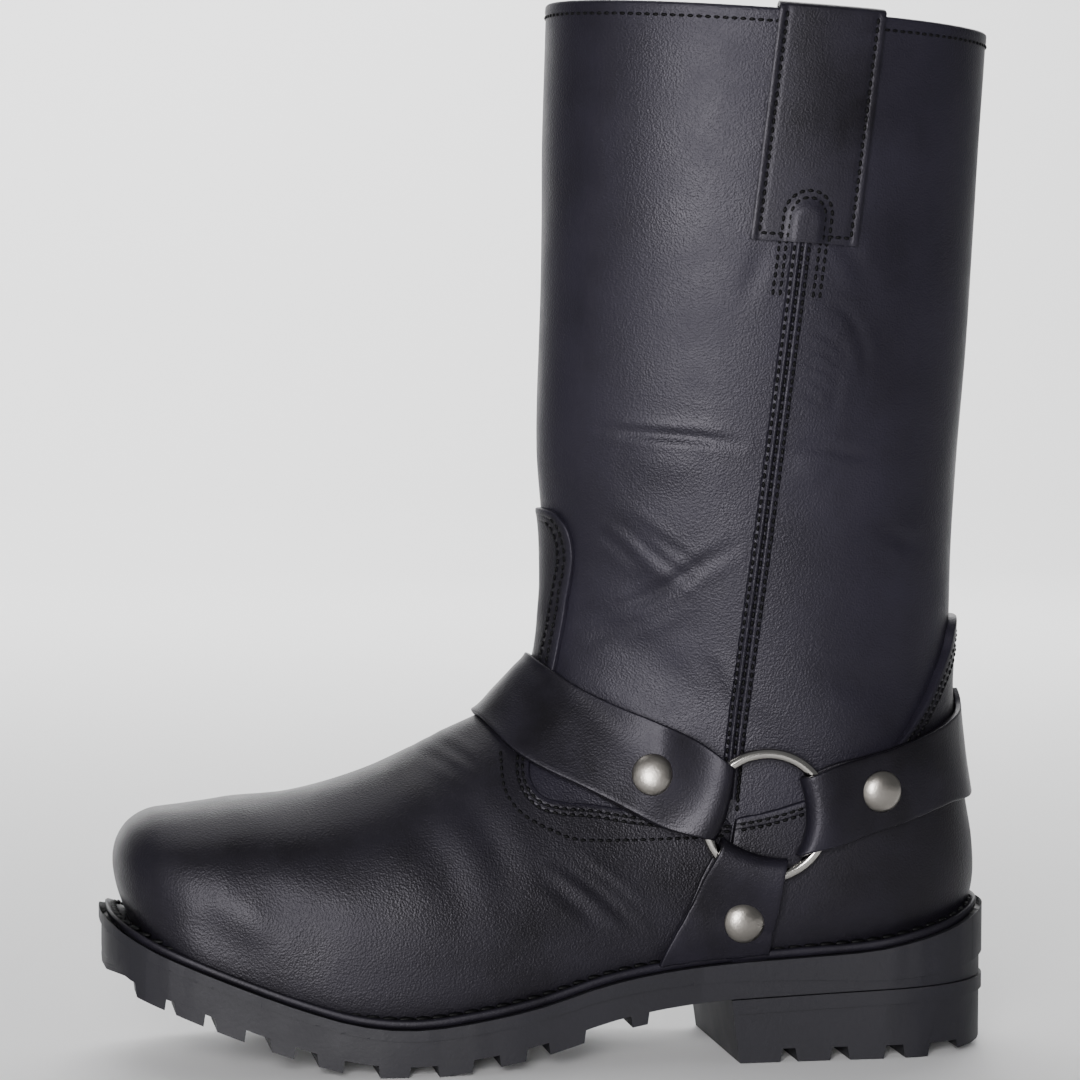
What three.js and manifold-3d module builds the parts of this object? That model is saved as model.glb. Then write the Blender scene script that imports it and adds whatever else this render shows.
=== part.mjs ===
import * as THREE from 'three';
import { ParametricGeometry } from 'three/addons/geometries/ParametricGeometry.js';
import { mergeVertices } from 'three/addons/utils/BufferGeometryUtils.js';
import Module from 'manifold-3d';

// A left harness boot. Millimetres: +X runs from toe to heel, -Y is the outer side of the foot,
// +Z is up, and the origin lies on the floor under the middle of the sole.

// Sole
const SOLE_LENGTH = 312;
const SOLE_WIDTH = 112;
const FOREFOOT_HEIGHT = 15.8;
const TOE_RISE = 36.2;
const HEEL_RISE = 20;
const CUP_RISE = 15;
const OUTSOLE_THICKNESS = 12.4;
const LUG_DEPTH = 4;
const LUG_DRAFT = 1.2;
const LUG_ROOT = 4;
const SIDE_STEP = 0.9;
const CENTRE_ROW_WIDTH = 30;
const CHANNEL_WIDTH = 5;
const HEEL_LENGTH = 98;
const HEEL_BREAST_LEAN = 3.3;
const HEEL_LUG_DEPTH = 4.6;
const HEEL_BAND = 5.3;
const HEEL_REAR_LIFT = 3.6;
const HEEL_ROLL = 26.5;
const HEEL_CHANNEL_SETBACK = 17.6;
const WELT_THICKNESS = 3;
const WELT_SETBACK = 2.2;
const INSOLE_THICKNESS = 3;

// Upper
const UPPER_LENGTH = 300;
const TOE_RIM = 6.5;
const BALL_WIDTH = 100;
const SHAFT_WIDTH = 100;
const INSTEP_RISE = 100;
const SHAFT_RISE = 210.5;
const COLLAR_DROP = 8.5;
const COLLAR_RUN = 150;
const TOE_ROUND_PLAN = 40;
const TOE_ROUND_TOP = 14;
const TOE_ROUND_UNDER = 30;
const FEATHER_DEPTH = 10;
const WALL = 2.2;
const LASTING_MARGIN = 14;
const VAMP_THICKNESS = 1.5;
const COUNTER_THICKNESS = 2.5;
const SEAM_WIDTH = 7;
const SEAM_THICKNESS = 1;

// Straps, rings and rivets
const STRAP_WIDTH = 29;
const STRAP_THICKNESS = 2.3;
const STRAP_HANG = 7;
const RING_INSIDE = 38.8;
const RING_WIRE = 3.9;
const RING_PLAY = 0.35;
const FOLD_REACH = 13.4;
const FOLD_BOW = 2;
const FOLD_NECK = 3.4;
const LOOP_STATION = 9;
const LOOP_FLAT = 23;
const LOOP_CLEAR = 32;
const LOOP_SKIVE = 2;
const RIVET_WIDTH = 14.4;
const RIVET_HEIGHT = 3.2;
const RIVET_SHANK = 4;
const PULL_WIDTH = 37;
const PULL_LENGTH = 78;
const PULL_THICKNESS = 2;
const PULL_CLEAR = 1.2;
const PULL_ARCH = 0.5;
const PULL_LINING_GAP = 0.8;

// Gap between touching pieces, and how far a cutting form runs past what it cuts.
const GAP = 0.3;
const REACH = 220;
const SLOPE_STEP = 3;
const FACET_GAP = 0.25;

// Numbers of facets
const AROUND = 24;
const OUTLINE_STEPS = 30;
const PROFILE_STEPS = 36;
const HEEL_STEPS = 8;
const WIRE_SIDES = 8;
const RING_SIDES = 28;
const RIVET_SIDES = 14;
const SHANK_SIDES = 8;
const DOME_STEPS = 3;

const SIDES = { lateral: -1, medial: 1 };

// Height of the sole's top edge along the boot: "at" is a share of half the sole's length.
const SOLE_TOP = [
  { at: -1.0, toe: 1.0, heel: 0, cup: 0 },
  { at: -0.96, toe: 0.875, heel: 0, cup: 0 },
  { at: -0.9, toe: 0.735, heel: 0, cup: 0 },
  { at: -0.85, toe: 0.64, heel: 0, cup: 0 },
  { at: -0.7, toe: 0.38, heel: 0, cup: 0 },
  { at: -0.58, toe: 0.195, heel: 0, cup: 0 },
  { at: -0.46, toe: 0.05, heel: 0, cup: 0 },
  { at: -0.34, toe: 0, heel: 0, cup: 0 },
  { at: -0.21, toe: 0, heel: 0.1, cup: 0 },
  { at: -0.06, toe: 0, heel: 0.32, cup: 0 },
  { at: 0.09, toe: 0, heel: 0.65, cup: 0 },
  { at: 0.22, toe: 0, heel: 0.83, cup: 0 },
  { at: 0.37, toe: 0, heel: 0.94, cup: 0 },
  { at: 0.52, toe: 0, heel: 1.0, cup: 0 },
  { at: 0.7, toe: 0, heel: 1.0, cup: 0.12 },
  { at: 0.82, toe: 0, heel: 1.0, cup: 0.36 },
  { at: 0.91, toe: 0, heel: 1.0, cup: 0.62 },
  { at: 0.97, toe: 0, heel: 1.0, cup: 0.87 },
  { at: 1.0, toe: 0, heel: 1.0, cup: 1.0 },
];

// Half widths of the sole before its ends are rounded, as shares of half its width.
const SOLE_PLAN = [
  { at: -1.0, lateral: 0.8, medial: 0.81 },
  { at: -0.87, lateral: 0.84, medial: 0.86 },
  { at: -0.7, lateral: 0.895, medial: 0.935 },
  { at: -0.55, lateral: 0.955, medial: 0.99 },
  { at: -0.45, lateral: 0.985, medial: 1.0 },
  { at: -0.3, lateral: 1.0, medial: 0.965 },
  { at: -0.15, lateral: 0.975, medial: 0.88 },
  { at: 0.0, lateral: 0.915, medial: 0.765 },
  { at: 0.15, lateral: 0.86, medial: 0.705 },
  { at: 0.3, lateral: 0.8, medial: 0.67 },
  { at: 0.45, lateral: 0.765, medial: 0.67 },
  { at: 0.6, lateral: 0.74, medial: 0.695 },
  { at: 0.8, lateral: 0.72, medial: 0.715 },
  { at: 1.0, lateral: 0.7, medial: 0.71 },
];
const SOLE_TOE_ROUND = { reach: 42, power: 3 };
const SOLE_HEEL_ROUND = { reach: 44, power: 2.3 };

// Depth of the line along the sole's side under its top edge, as a share of the outsole.
const SIDE_LINE = [
  { at: -1.0, depth: 0.32 },
  { at: -0.6, depth: 0.28 },
  { at: 0.0, depth: 0.36 },
  { at: 0.37, depth: 0.5 },
  { at: 0.65, depth: 0.75 },
  { at: 1.0, depth: 1.36 },
];

// Lugs under the forefoot: where each starts and ends, as shares of half the sole's length.
const FOREFOOT_LUGS = [
  { start: -0.93, end: -0.873 },
  { start: -0.849, end: -0.791 },
  { start: -0.762, end: -0.704 },
  { start: -0.645, end: -0.598 },
  { start: -0.545, end: -0.494 },
  { start: -0.413, end: -0.351 },
  { start: -0.285, end: -0.213 },
  { start: -0.149, end: -0.094 },
  { start: -0.039, end: 0.037 },
  { start: 0.147, end: 0.181 },
];
const CENTRE_SHIFT = 0.045;

// Grooves under the heel, as shares of its length behind the breast.
const HEEL_GROOVES = [
  { start: 0.19, end: 0.235 },
  { start: 0.372, end: 0.425 },
  { start: 0.568, end: 0.63 },
  { start: 0.735, end: 0.845 },
];

// Sections of the lasted foot at the toe: each "at" is a share of the toe's rounding.
const TOE_SECTIONS = [
  { at: 0.01, foot: 2.4 },
  { at: 0.04, foot: 2.6 },
  { at: 0.095, foot: 2.8 },
  { at: 0.18, foot: 3.1 },
  { at: 0.3, foot: 3.4 },
  { at: 0.46, foot: 3.7 },
  { at: 0.68, foot: 3.9 },
];
const TOE_CENTRE = 0.21;
const TOE_TOP = { tip: 0.365, end: 0.578 };
const TOE_HALF = { tip: 0.85, end: 0.91 };
const TOE_POWER = 2.8;
const TOE_WIDEST = 0.42;
const TOE_CROWN = 2.5;

// Sections of the upper from the toe box to above the collar, fanned round the instep. Columns:
// front point (fx, fr, fs) and back point (bx, br, bs), each as x from the toe tip as a share of
// the upper's length, rise above the sole's edge as a share of the instep's, and share of the
// shaft's rise; half widths as shares of half the ball or shaft width; place of the widest point
// from the back; and how square the front and the back halves are.
const SECTION_COLUMNS = ['fx', 'fr', 'fs', 'bx', 'br', 'bs', 'lat', 'med', 'wide', 'crown', 'foot'];
const SECTION_ROWS = [
  [0.132, 0.578, 0, 0.132, 0, 0, 0.91, 0.9, 0.38, 2.5, 4],
  [0.192, 0.658, 0, 0.198, 0, 0, 0.965, 0.955, 0.36, 2.4, 4],
  [0.245, 0.743, 0, 0.265, 0, 0, 0.995, 0.975, 0.34, 2.3, 4],
  [0.295, 0.819, 0, 0.338, 0, 0, 1.0, 0.95, 0.33, 2.2, 4],
  [0.342, 0.885, 0, 0.418, 0, 0, 0.97, 0.895, 0.32, 2.1, 4],
  [0.385, 0.936, 0, 0.505, 0, 0, 0.915, 0.815, 0.31, 2.0, 3.9],
  [0.422, 0.969, 0, 0.598, 0, 0, 0.85, 0.745, 0.31, 2.0, 3.7],
  [0.453, 1.004, 0, 0.698, 0, 0, 0.795, 0.715, 0.32, 2.0, 3.4],
  [0.475, 1.059, 0, 0.792, 0, 0, 0.765, 0.71, 0.34, 2.0, 3.1],
  [0.486, 1.13, 0, 0.872, 0, 0, 0.75, 0.715, 0.36, 2.0, 2.8],
  [0.491, 1.212, 0, 0.938, 0, 0, 0.745, 0.72, 0.38, 2.0, 2.6],
  [0.493, 1.29, 0, 0.978, 0.04, 0, 0.745, 0.725, 0.4, 2.0, 2.4],
  [0.495, 1.29, 0.038, 0.997, 0.178, 0, 0.75, 0.735, 0.41, 2.0, 2.3],
  [0.495, 1.29, 0.081, 0.998, 0.318, 0, 0.77, 0.755, 0.42, 2.0, 2.2],
  [0.494, 1.29, 0.128, 0.99, 0.477, 0, 0.78, 0.765, 0.43, 2.0, 2.2],
  [0.49, 1.29, 0.19, 0.981, 0.668, 0, 0.795, 0.785, 0.45, 2.0, 2.1],
  [0.486, 1.29, 0.266, 0.974, 0.887, 0, 0.82, 0.81, 0.46, 2.05, 2.1],
  [0.486, 1.29, 0.347, 0.977, 1.123, 0, 0.845, 0.84, 0.47, 2.1, 2.1],
  [0.488, 1.29, 0.437, 0.979, 1.2, 0.105, 0.875, 0.87, 0.48, 2.1, 2.1],
  [0.49, 1.29, 0.537, 0.985, 1.2, 0.253, 0.905, 0.9, 0.48, 2.1, 2.1],
  [0.491, 1.29, 0.651, 0.994, 1.2, 0.414, 0.935, 0.93, 0.48, 2.1, 2.1],
  [0.491, 1.29, 0.77, 1.001, 1.2, 0.59, 0.96, 0.955, 0.48, 2.1, 2.1],
  [0.493, 1.29, 0.888, 1.007, 1.2, 0.753, 0.98, 0.98, 0.48, 2.1, 2.1],
  [0.495, 1.29, 1.0, 1.014, 1.2, 0.911, 1.0, 1.0, 0.48, 2.1, 2.1],
  [0.496, 1.29, 1.09, 1.018, 1.2, 1.01, 1.01, 1.01, 0.48, 2.1, 2.1],
];

// Line of the front strap where it bridges the hollow of the instep, as two front points.
const BRIDGE = { low: { fx: 0.417, fr: 0.952 }, high: { fx: 0.489, fr: 1.132 } };

// Outlines of the overlays seen from the side, in the same shares as the front points.
const VAMP_EDGE = [
  { x: 0.47, r: 1.29, s: 0.178 },
  { x: 0.494, r: 1.29, s: 0.171 },
  { x: 0.506, r: 1.29, s: 0.157 },
  { x: 0.514, r: 1.29, s: 0.136 },
  { x: 0.5195, r: 1.29, s: 0.108 },
  { x: 0.521, r: 1.29, s: 0.078 },
  { x: 0.5185, r: 1.29, s: 0.042 },
  { x: 0.51, r: 1.21, s: 0 },
  { x: 0.5, r: 1.07, s: 0 },
  { x: 0.484, r: 0.94, s: 0 },
  { x: 0.466, r: 0.83, s: 0 },
  { x: 0.462, r: 0.775, s: 0 },
  { x: 0.466, r: 0.725, s: 0 },
  { x: 0.478, r: 0.68, s: 0 },
  { x: 0.5, r: 0.645, s: 0 },
  { x: 0.535, r: 0.605, s: 0 },
  { x: 0.585, r: 0.55, s: 0 },
  { x: 0.65, r: 0.505, s: 0 },
  { x: 0.694, r: 0.485, s: 0 },
];
const VAMP_REAR = 0.648;
const COUNTER_EDGE = [
  { x: 0.7, r: 0.49, s: 0 },
  { x: 0.735, r: 0.505, s: 0 },
  { x: 0.77, r: 0.53, s: 0 },
  { x: 0.81, r: 0.565, s: 0 },
  { x: 0.85, r: 0.62, s: 0 },
  { x: 0.885, r: 0.69, s: 0 },
  { x: 0.912, r: 0.765, s: 0 },
  { x: 0.935, r: 0.85, s: 0 },
  { x: 0.958, r: 0.955, s: 0 },
  { x: 0.978, r: 1.06, s: 0 },
  { x: 1.05, r: 1.07, s: 0 },
];
const SEAM_LINE = { top: { x: 0.7625, r: 1.29, s: 0.541 }, foot: { x: 0.692, r: 0.56, s: 0 } };

const FRONT_STRAP = [
  { x: 0.442, r: 1.27 },
  { x: 0.478, r: 1.17 },
  { x: 0.5, r: 1.095 },
  { x: 0.525, r: 1.035 },
  { x: 0.57, r: 0.93 },
  { x: 0.61, r: 0.862 },
  { x: 0.587, r: 0.552 },
  { x: 0.55, r: 0.63 },
  { x: 0.51, r: 0.71 },
  { x: 0.475, r: 0.79 },
  { x: 0.442, r: 0.885 },
  { x: 0.413, r: 0.98 },
  { x: 0.37, r: 1.08 },
];
const REAR_STRAP = [
  { x: 0.86, r: 0.685 },
  { x: 0.93, r: 0.715 },
  { x: 0.99, r: 0.76 },
  { x: 1.05, r: 0.8 },
  { x: 1.05, r: 0.4 },
  { x: 1.0, r: 0.405 },
  { x: 0.93, r: 0.41 },
  { x: 0.87, r: 0.395 },
];

// Ring: its centre in the side view, and for each strap the direction it leaves in, how far its
// leather reaches, and its rivet.
const RING_CENTRE = { x: 0.729, r: 0.505 };
const LOOPS = {
  front: { angle: 160, length: 58, end: 52, flare: 2, over: 'vamp', rivet: { x: 0.6, r: 0.68 } },
  rear: { angle: 12.6, length: 56, end: 52, flare: 2, over: 'counter', rivet: { x: 0.865, r: 0.558 } },
  lower: { angle: -109, length: 62, end: 62, flare: 5, over: 'counter', rivet: { x: 0.704, r: 0.145 } },
};

const { abs, cos, sin, sqrt, min, max, PI } = Math;
const { clamp, lerp, smoothstep, degToRad } = THREE.MathUtils;

const wasm = await Module();
wasm.setup();

const HALF_SOLE = SOLE_LENGTH / 2;
const TOE_TIP = TOE_RIM - HALF_SOLE;
const VAMP_OUT = GAP + VAMP_THICKNESS;
const COUNTER_OUT = GAP + COUNTER_THICKNESS;
const RING_MEAN = (RING_INSIDE + RING_WIRE) / 2;

// Smooth curve through one column of a table, at any value of its "at" column.
function along(rows, column, at) {
  const last = rows.length - 1;
  const x = clamp(at, rows[0].at, rows[last].at);
  let i = 0;
  while (i < last - 1 && x > rows[i + 1].at) i += 1;
  const slope = (a, b) => (rows[b][column] - rows[a][column]) / (rows[b].at - rows[a].at);
  const step = rows[i + 1].at - rows[i].at;
  const t = (x - rows[i].at) / step;
  const m0 = slope(max(i - 1, 0), i + 1) * step;
  const m1 = slope(i, min(i + 2, last)) * step;
  const [p0, p1] = [rows[i][column], rows[i + 1][column]];
  const turn = 2 * p0 - 2 * p1 + m0 + m1;
  const lean = 3 * p1 - 3 * p0 - 2 * m0 - m1;
  return ((turn * t + lean) * t + m0) * t + p0;
}

function soleTop(x) {
  const rise = (column) => along(SOLE_TOP, column, x / HALF_SOLE);
  return FOREFOOT_HEIGHT + TOE_RISE * rise('toe') + HEEL_RISE * rise('heel') + CUP_RISE * rise('cup');
}

// Vertical depth of a layer of the given thickness hanging under the curved sole's edge.
function hang(x, thickness) {
  const slope = soleTop(x + 0.5) - soleTop(x - 0.5);
  return thickness * sqrt(1 + slope * slope);
}

function rounding(distance, reach, power) {
  const t = 1 - clamp(distance / reach, 0, 1);
  return (1 - t ** power) ** (1 / power);
}

function solePoint(t, side) {
  const x = -HALF_SOLE * cos(PI * t);
  const toe = rounding(x + HALF_SOLE, SOLE_TOE_ROUND.reach, SOLE_TOE_ROUND.power);
  const heel = rounding(HALF_SOLE - x, SOLE_HEEL_ROUND.reach, SOLE_HEEL_ROUND.power);
  const half = along(SOLE_PLAN, side, x / HALF_SOLE) * SOLE_WIDTH / 2;
  return new THREE.Vector2(x, SIDES[side] * half * toe * heel);
}

// The sole seen from above, drawn in by the given inset.
function soleOutline(inset) {
  const points = [];
  for (let i = 0; i < OUTLINE_STEPS; i += 1) points.push(solePoint(i / OUTLINE_STEPS, 'lateral'));
  for (let i = OUTLINE_STEPS; i > 0; i -= 1) points.push(solePoint(i / OUTLINE_STEPS, 'medial'));
  const moved = points.map((point, i) => {
    const before = points[(i + points.length - 1) % points.length];
    const after = points[(i + 1) % points.length];
    const run = after.clone().sub(before).normalize();
    return new THREE.Vector2(point.x - run.y * inset, point.y + run.x * inset);
  });
  return new THREE.Shape(moved);
}

// Height of a point given by shares: rise above the sole's edge, and share of the shaft.
function heightAt(x, rise, shaft) {
  return soleTop(x) + rise * INSTEP_RISE + shaft * SHAFT_RISE;
}

function sidePoint({ x, r, s = 0 }) {
  const run = TOE_TIP + x * UPPER_LENGTH;
  return new THREE.Vector2(run, heightAt(min(run, HALF_SOLE), r, s));
}

function toeSection({ at, foot }) {
  const d = at * TOE_ROUND_PLAN;
  const x = TOE_TIP + d;
  const centre = heightAt(TOE_TIP, TOE_CENTRE, 0);
  const top = heightAt(x, lerp(TOE_TOP.tip, TOE_TOP.end, at), 0);
  const under = soleTop(x) - FEATHER_DEPTH;
  const fullness = lerp(TOE_HALF.tip, TOE_HALF.end, at) * rounding(d, TOE_ROUND_PLAN, TOE_POWER);
  const half = fullness * BALL_WIDTH / 2;
  return {
    front: new THREE.Vector2(x, lerp(centre, top, rounding(d, TOE_ROUND_TOP, 2))),
    back: new THREE.Vector2(x, lerp(centre, under, rounding(d, TOE_ROUND_UNDER, 2))),
    lateral: half,
    medial: half,
    wide: TOE_WIDEST,
    crown: TOE_CROWN,
    foot,
  };
}

function bodySection(row) {
  const frontX = TOE_TIP + row.fx * UPPER_LENGTH;
  const backX = TOE_TIP + row.bx * UPPER_LENGTH;
  const half = lerp(BALL_WIDTH, SHAFT_WIDTH, clamp(row.fs, 0, 1)) / 2;
  return {
    front: new THREE.Vector2(frontX, heightAt(frontX, row.fr, row.fs)),
    back: new THREE.Vector2(backX, heightAt(min(backX, HALF_SOLE), row.br, row.bs) - FEATHER_DEPTH),
    lateral: row.lat * half,
    medial: row.med * half,
    wide: row.wide,
    crown: row.crown,
    foot: row.foot,
  };
}

function namedRow(columns, row) {
  return Object.fromEntries(columns.map((column, k) => [column, row[k]]));
}

const sections = [
  ...TOE_SECTIONS.map(toeSection),
  ...SECTION_ROWS.map((row) => bodySection(namedRow(SECTION_COLUMNS, row))),
];

// The same sections with the hollow of the instep bridged by the front strap's chord.
function bridged(section) {
  const low = sidePoint({ x: BRIDGE.low.fx, r: BRIDGE.low.fr });
  const high = sidePoint({ x: BRIDGE.high.fx, r: BRIDGE.high.fr });
  const chord = high.clone().sub(low);
  const reach = section.front.clone().sub(section.back);
  const across = reach.cross(chord);
  const share = low.clone().sub(section.back).cross(chord) / across;
  const place = section.back.clone().addScaledVector(reach, share);
  const onChord = place.clone().sub(low).dot(chord) / chord.lengthSq();
  if (share < 1 || onChord < 0 || onChord > 1) return section;
  return { ...section, front: place };
}

const bridgedSections = sections.map(bridged);

// Share of the half width at a place between a section's back (0) and front (1).
function girth(section, place) {
  const front = place > section.wide;
  const span = front ? 1 - section.wide : section.wide;
  const power = front ? section.crown : section.foot;
  const out = min(abs(place - section.wide) / span, 1);
  return (1 - out ** power) ** (1 / power);
}

// How far out, along Y, a layer of unit depth over the form reaches at a place in the side view.
function steepness(x, z, side) {
  const slopeX = halfAt(x + SLOPE_STEP, z, side) - halfAt(x - SLOPE_STEP, z, side);
  const slopeZ = halfAt(x, z + SLOPE_STEP, side) - halfAt(x, z - SLOPE_STEP, side);
  return sqrt(1 + (slopeX ** 2 + slopeZ ** 2) / (2 * SLOPE_STEP) ** 2);
}

// A point on a section, with turn running once round it from the front over the outer side.
function sectionPoint(section, turn, target) {
  const angle = turn * 2 * PI;
  const side = angle > PI ? 'medial' : 'lateral';
  const power = cos(angle) > 0 ? section.crown : section.foot;
  const span = cos(angle) > 0 ? 1 - section.wide : -section.wide;
  const place = section.wide + span * abs(cos(angle)) ** (2 / power);
  const half = section[side] * abs(sin(angle)) ** (2 / power);
  const x = lerp(section.back.x, section.front.x, place);
  const z = lerp(section.back.y, section.front.y, place);
  return target.set(x, SIDES[side] * half, z);
}

function indexed(geometry) {
  const bare = geometry.clone();
  bare.deleteAttribute('normal');
  bare.deleteAttribute('uv');
  const merged = mergeVertices(bare, 1e-4);
  const index = [];
  for (let i = 0; i < merged.index.count; i += 3) {
    const [a, b, c] = [0, 1, 2].map((k) => merged.index.getX(i + k));
    if (a !== b && b !== c && c !== a) index.push(a, b, c);
  }
  merged.setIndex(index);
  return merged;
}

function signedVolume(mesh) {
  const points = mesh.attributes.position;
  const corners = [0, 1, 2].map(() => new THREE.Vector3());
  let volume = 0;
  for (let i = 0; i < mesh.index.count; i += 3) {
    corners.forEach((corner, k) => corner.fromBufferAttribute(points, mesh.index.getX(i + k)));
    volume += corners[0].dot(corners[1].clone().cross(corners[2])) / 6;
  }
  return volume;
}

// A closed mesh as a solid, turned right side out where its mapping has mirrored it.
function solidOf(geometry) {
  const mesh = indexed(geometry);
  const triangles = new Uint32Array(mesh.index.array);
  if (signedVolume(mesh) < 0) triangles.reverse();
  const vertProperties = new Float32Array(mesh.attributes.position.array);
  return new wasm.Manifold(new wasm.Mesh({ numProp: 3, vertProperties, triVerts: triangles }));
}

// The upper's form grown outwards, or inwards where the distance is negative.
function form(distance, rows = sections) {
  const tip = new THREE.Vector3(TOE_TIP, 0, heightAt(TOE_TIP, TOE_CENTRE, 0));
  const last = rows[rows.length - 1];
  const middle = last.front.clone().add(last.back).divideScalar(2);
  const top = new THREE.Vector3(middle.x, 0, middle.y);
  const stacks = rows.length + 1;
  const geometry = new ParametricGeometry((turn, rise, target) => {
    const row = Math.round(rise * stacks);
    if (row === 0) target.copy(tip);
    else if (row === stacks) target.copy(top);
    else sectionPoint(rows[row - 1], turn, target);
  }, AROUND, stacks);
  const grown = indexed(geometry);
  grown.computeVertexNormals();
  const outward = Math.sign(signedVolume(grown));
  const points = grown.attributes.position;
  const normals = grown.attributes.normal;
  const point = new THREE.Vector3();
  const normal = new THREE.Vector3();
  for (let i = 0; i < points.count; i += 1) {
    normal.fromBufferAttribute(normals, i);
    point.fromBufferAttribute(points, i).addScaledVector(normal, outward * distance);
    points.setXYZ(i, point.x, point.y, point.z);
  }
  return solidOf(grown);
}

// A prism through the boot with the given outline seen from the side.
function sidePrism(points, low = -REACH, high = REACH) {
  const shape = new THREE.Shape(points);
  const geometry = new THREE.ExtrudeGeometry(shape, { depth: high - low, bevelEnabled: false });
  geometry.rotateX(PI / 2);
  geometry.translate(0, high, 0);
  return solidOf(geometry);
}

function planPrism(shape, low, high) {
  const geometry = new THREE.ExtrudeGeometry(shape, { depth: high - low, bevelEnabled: false });
  geometry.translate(0, 0, low);
  return solidOf(geometry);
}

// The line of a side profile, from toe to heel or between two places.
function profile(height, from = -HALF_SOLE, to = HALF_SOLE, steps = PROFILE_STEPS) {
  const points = [];
  for (let i = 0; i <= steps; i += 1) {
    const x = lerp(from, to, i / steps);
    points.push(new THREE.Vector2(x, height(x)));
  }
  return points;
}

// Everything above a line that runs at a height over the sole's top edge.
function aboveSole(height) {
  const line = profile((x) => soleTop(x) + height);
  const over = new THREE.Vector2(HALF_SOLE + REACH, 2 * REACH);
  const rear = new THREE.Vector2(HALF_SOLE + REACH, soleTop(HALF_SOLE) + height);
  const fore = new THREE.Vector2(-HALF_SOLE - REACH, soleTop(-HALF_SOLE) + height);
  return sidePrism([fore, ...line, rear, over, new THREE.Vector2(-HALF_SOLE - REACH, 2 * REACH)]);
}

const collarFront = sections[sections.length - 2].front.clone();

function collarAt(x) {
  return collarFront.y - COLLAR_DROP * (x - collarFront.x) / COLLAR_RUN;
}

const belowCollar = sidePrism([
  new THREE.Vector2(-REACH, -REACH),
  new THREE.Vector2(REACH, -REACH),
  new THREE.Vector2(REACH, collarAt(REACH)),
  new THREE.Vector2(-REACH, collarAt(-REACH)),
]);

const footing = aboveSole(GAP);
const outer = form(0);
const inner = form(-WALL);
const overBody = form(GAP);

function shell(inside, outside, outline, low, high) {
  return outside.subtract(inside).intersect(sidePrism(outline, low, high));
}

// Half width of the upper's form at a place in the side view, found on the section through it.
function halfAt(x, z, side) {
  const point = new THREE.Vector2(x, z);
  const over = (section) => section.front.clone().sub(section.back).cross(point.clone().sub(section.back));
  let i = 0;
  while (i < sections.length - 2 && over(sections[i + 1]) < 0) i += 1;
  const [a, b] = [sections[i], sections[i + 1]];
  const t = clamp(over(a) / (over(a) - over(b)), 0, 1);
  const widths = [a, b].map((section) => {
    const reach = section.front.clone().sub(section.back);
    const place = clamp(point.clone().sub(section.back).dot(reach) / reach.lengthSq(), 0, 1);
    return section[side] * girth(section, place);
  });
  return lerp(widths[0], widths[1], t);
}

const upper = outer.intersect(footing).intersect(belowCollar)
  .subtract(inner.intersect(aboveSole(GAP + WALL)))
  .subtract(planPrism(soleOutline(TOE_RIM + LASTING_MARGIN), 0, REACH).subtract(aboveSole(2 * GAP + WALL)));

const insole = form(-WALL - GAP)
  .intersect(aboveSole(2 * GAP + WALL))
  .subtract(aboveSole(2 * GAP + WALL + INSOLE_THICKNESS));

const vampFoot = TOE_TIP + VAMP_REAR * UPPER_LENGTH;
const vampOuter = form(VAMP_OUT);
const vampOutline = [
  ...VAMP_EDGE.map(sidePoint),
  new THREE.Vector2(vampFoot, 0),
  new THREE.Vector2(-REACH, 0),
  new THREE.Vector2(-REACH, sidePoint(VAMP_EDGE[0]).y),
];
const vamp = shell(overBody, vampOuter, vampOutline).intersect(footing);

const counterOuter = form(COUNTER_OUT);
const counterOutline = [
  new THREE.Vector2(vampFoot + 2 * GAP, 0),
  ...COUNTER_EDGE.map(sidePoint),
  new THREE.Vector2(REACH, 0),
];
const counter = shell(overBody, counterOuter, counterOutline).intersect(footing);

function seam(side) {
  const top = sidePoint(SEAM_LINE.top);
  const foot = sidePoint(SEAM_LINE.foot);
  const half = SEAM_WIDTH / 2;
  const across = new THREE.Vector2(half, 0);
  const outline = [
    foot.clone().sub(across),
    foot.clone().add(across),
    top.clone().add(across),
    top.clone().sub(across),
  ];
  const [low, high] = side === 'lateral' ? [-REACH, 0] : [0, REACH];
  return shell(overBody, form(GAP + SEAM_THICKNESS), outline, low, high);
}

const welt = planPrism(soleOutline(WELT_SETBACK), 0, REACH)
  .intersect(footing)
  .subtract(aboveSole(GAP + WELT_THICKNESS))
  .subtract(form(VAMP_OUT + GAP))
  .subtract(form(COUNTER_OUT + GAP).intersect(sidePrism(counterOutline)));

// Sole: a full upper band, and under the side's line a lower part set back by one step.
const sideLine = (x) => soleTop(x) - along(SIDE_LINE, 'depth', x / HALF_SOLE) * OUTSOLE_THICKNESS;
const rootLine = (x) => soleTop(x) - hang(x, OUTSOLE_THICKNESS);
const lugLine = (x) => max(0, rootLine(x) - hang(x, LUG_DEPTH));
const breastX = HALF_SOLE - HEEL_LENGTH;
const heelTop = (x) => rootLine(breastX) + HEEL_REAR_LIFT * (x - breastX) / HEEL_LENGTH;

function lugProfile(shift) {
  return FOREFOOT_LUGS.map(({ start, end }) => {
    const [a, b] = [(start + shift) * HALF_SOLE, (end + shift) * HALF_SOLE];
    return sidePrism([
      new THREE.Vector2(a, lugLine(a)),
      new THREE.Vector2(b, lugLine(b)),
      new THREE.Vector2(b + LUG_DRAFT, rootLine(b) + LUG_ROOT),
      new THREE.Vector2(a - LUG_DRAFT, rootLine(a) + LUG_ROOT),
    ]);
  });
}

function lengthwise(x0, x1, y, width, low, high) {
  const geometry = new THREE.BoxGeometry(x1 - x0, width, high - low);
  geometry.translate((x0 + x1) / 2, y, (low + high) / 2);
  return solidOf(geometry);
}

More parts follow.
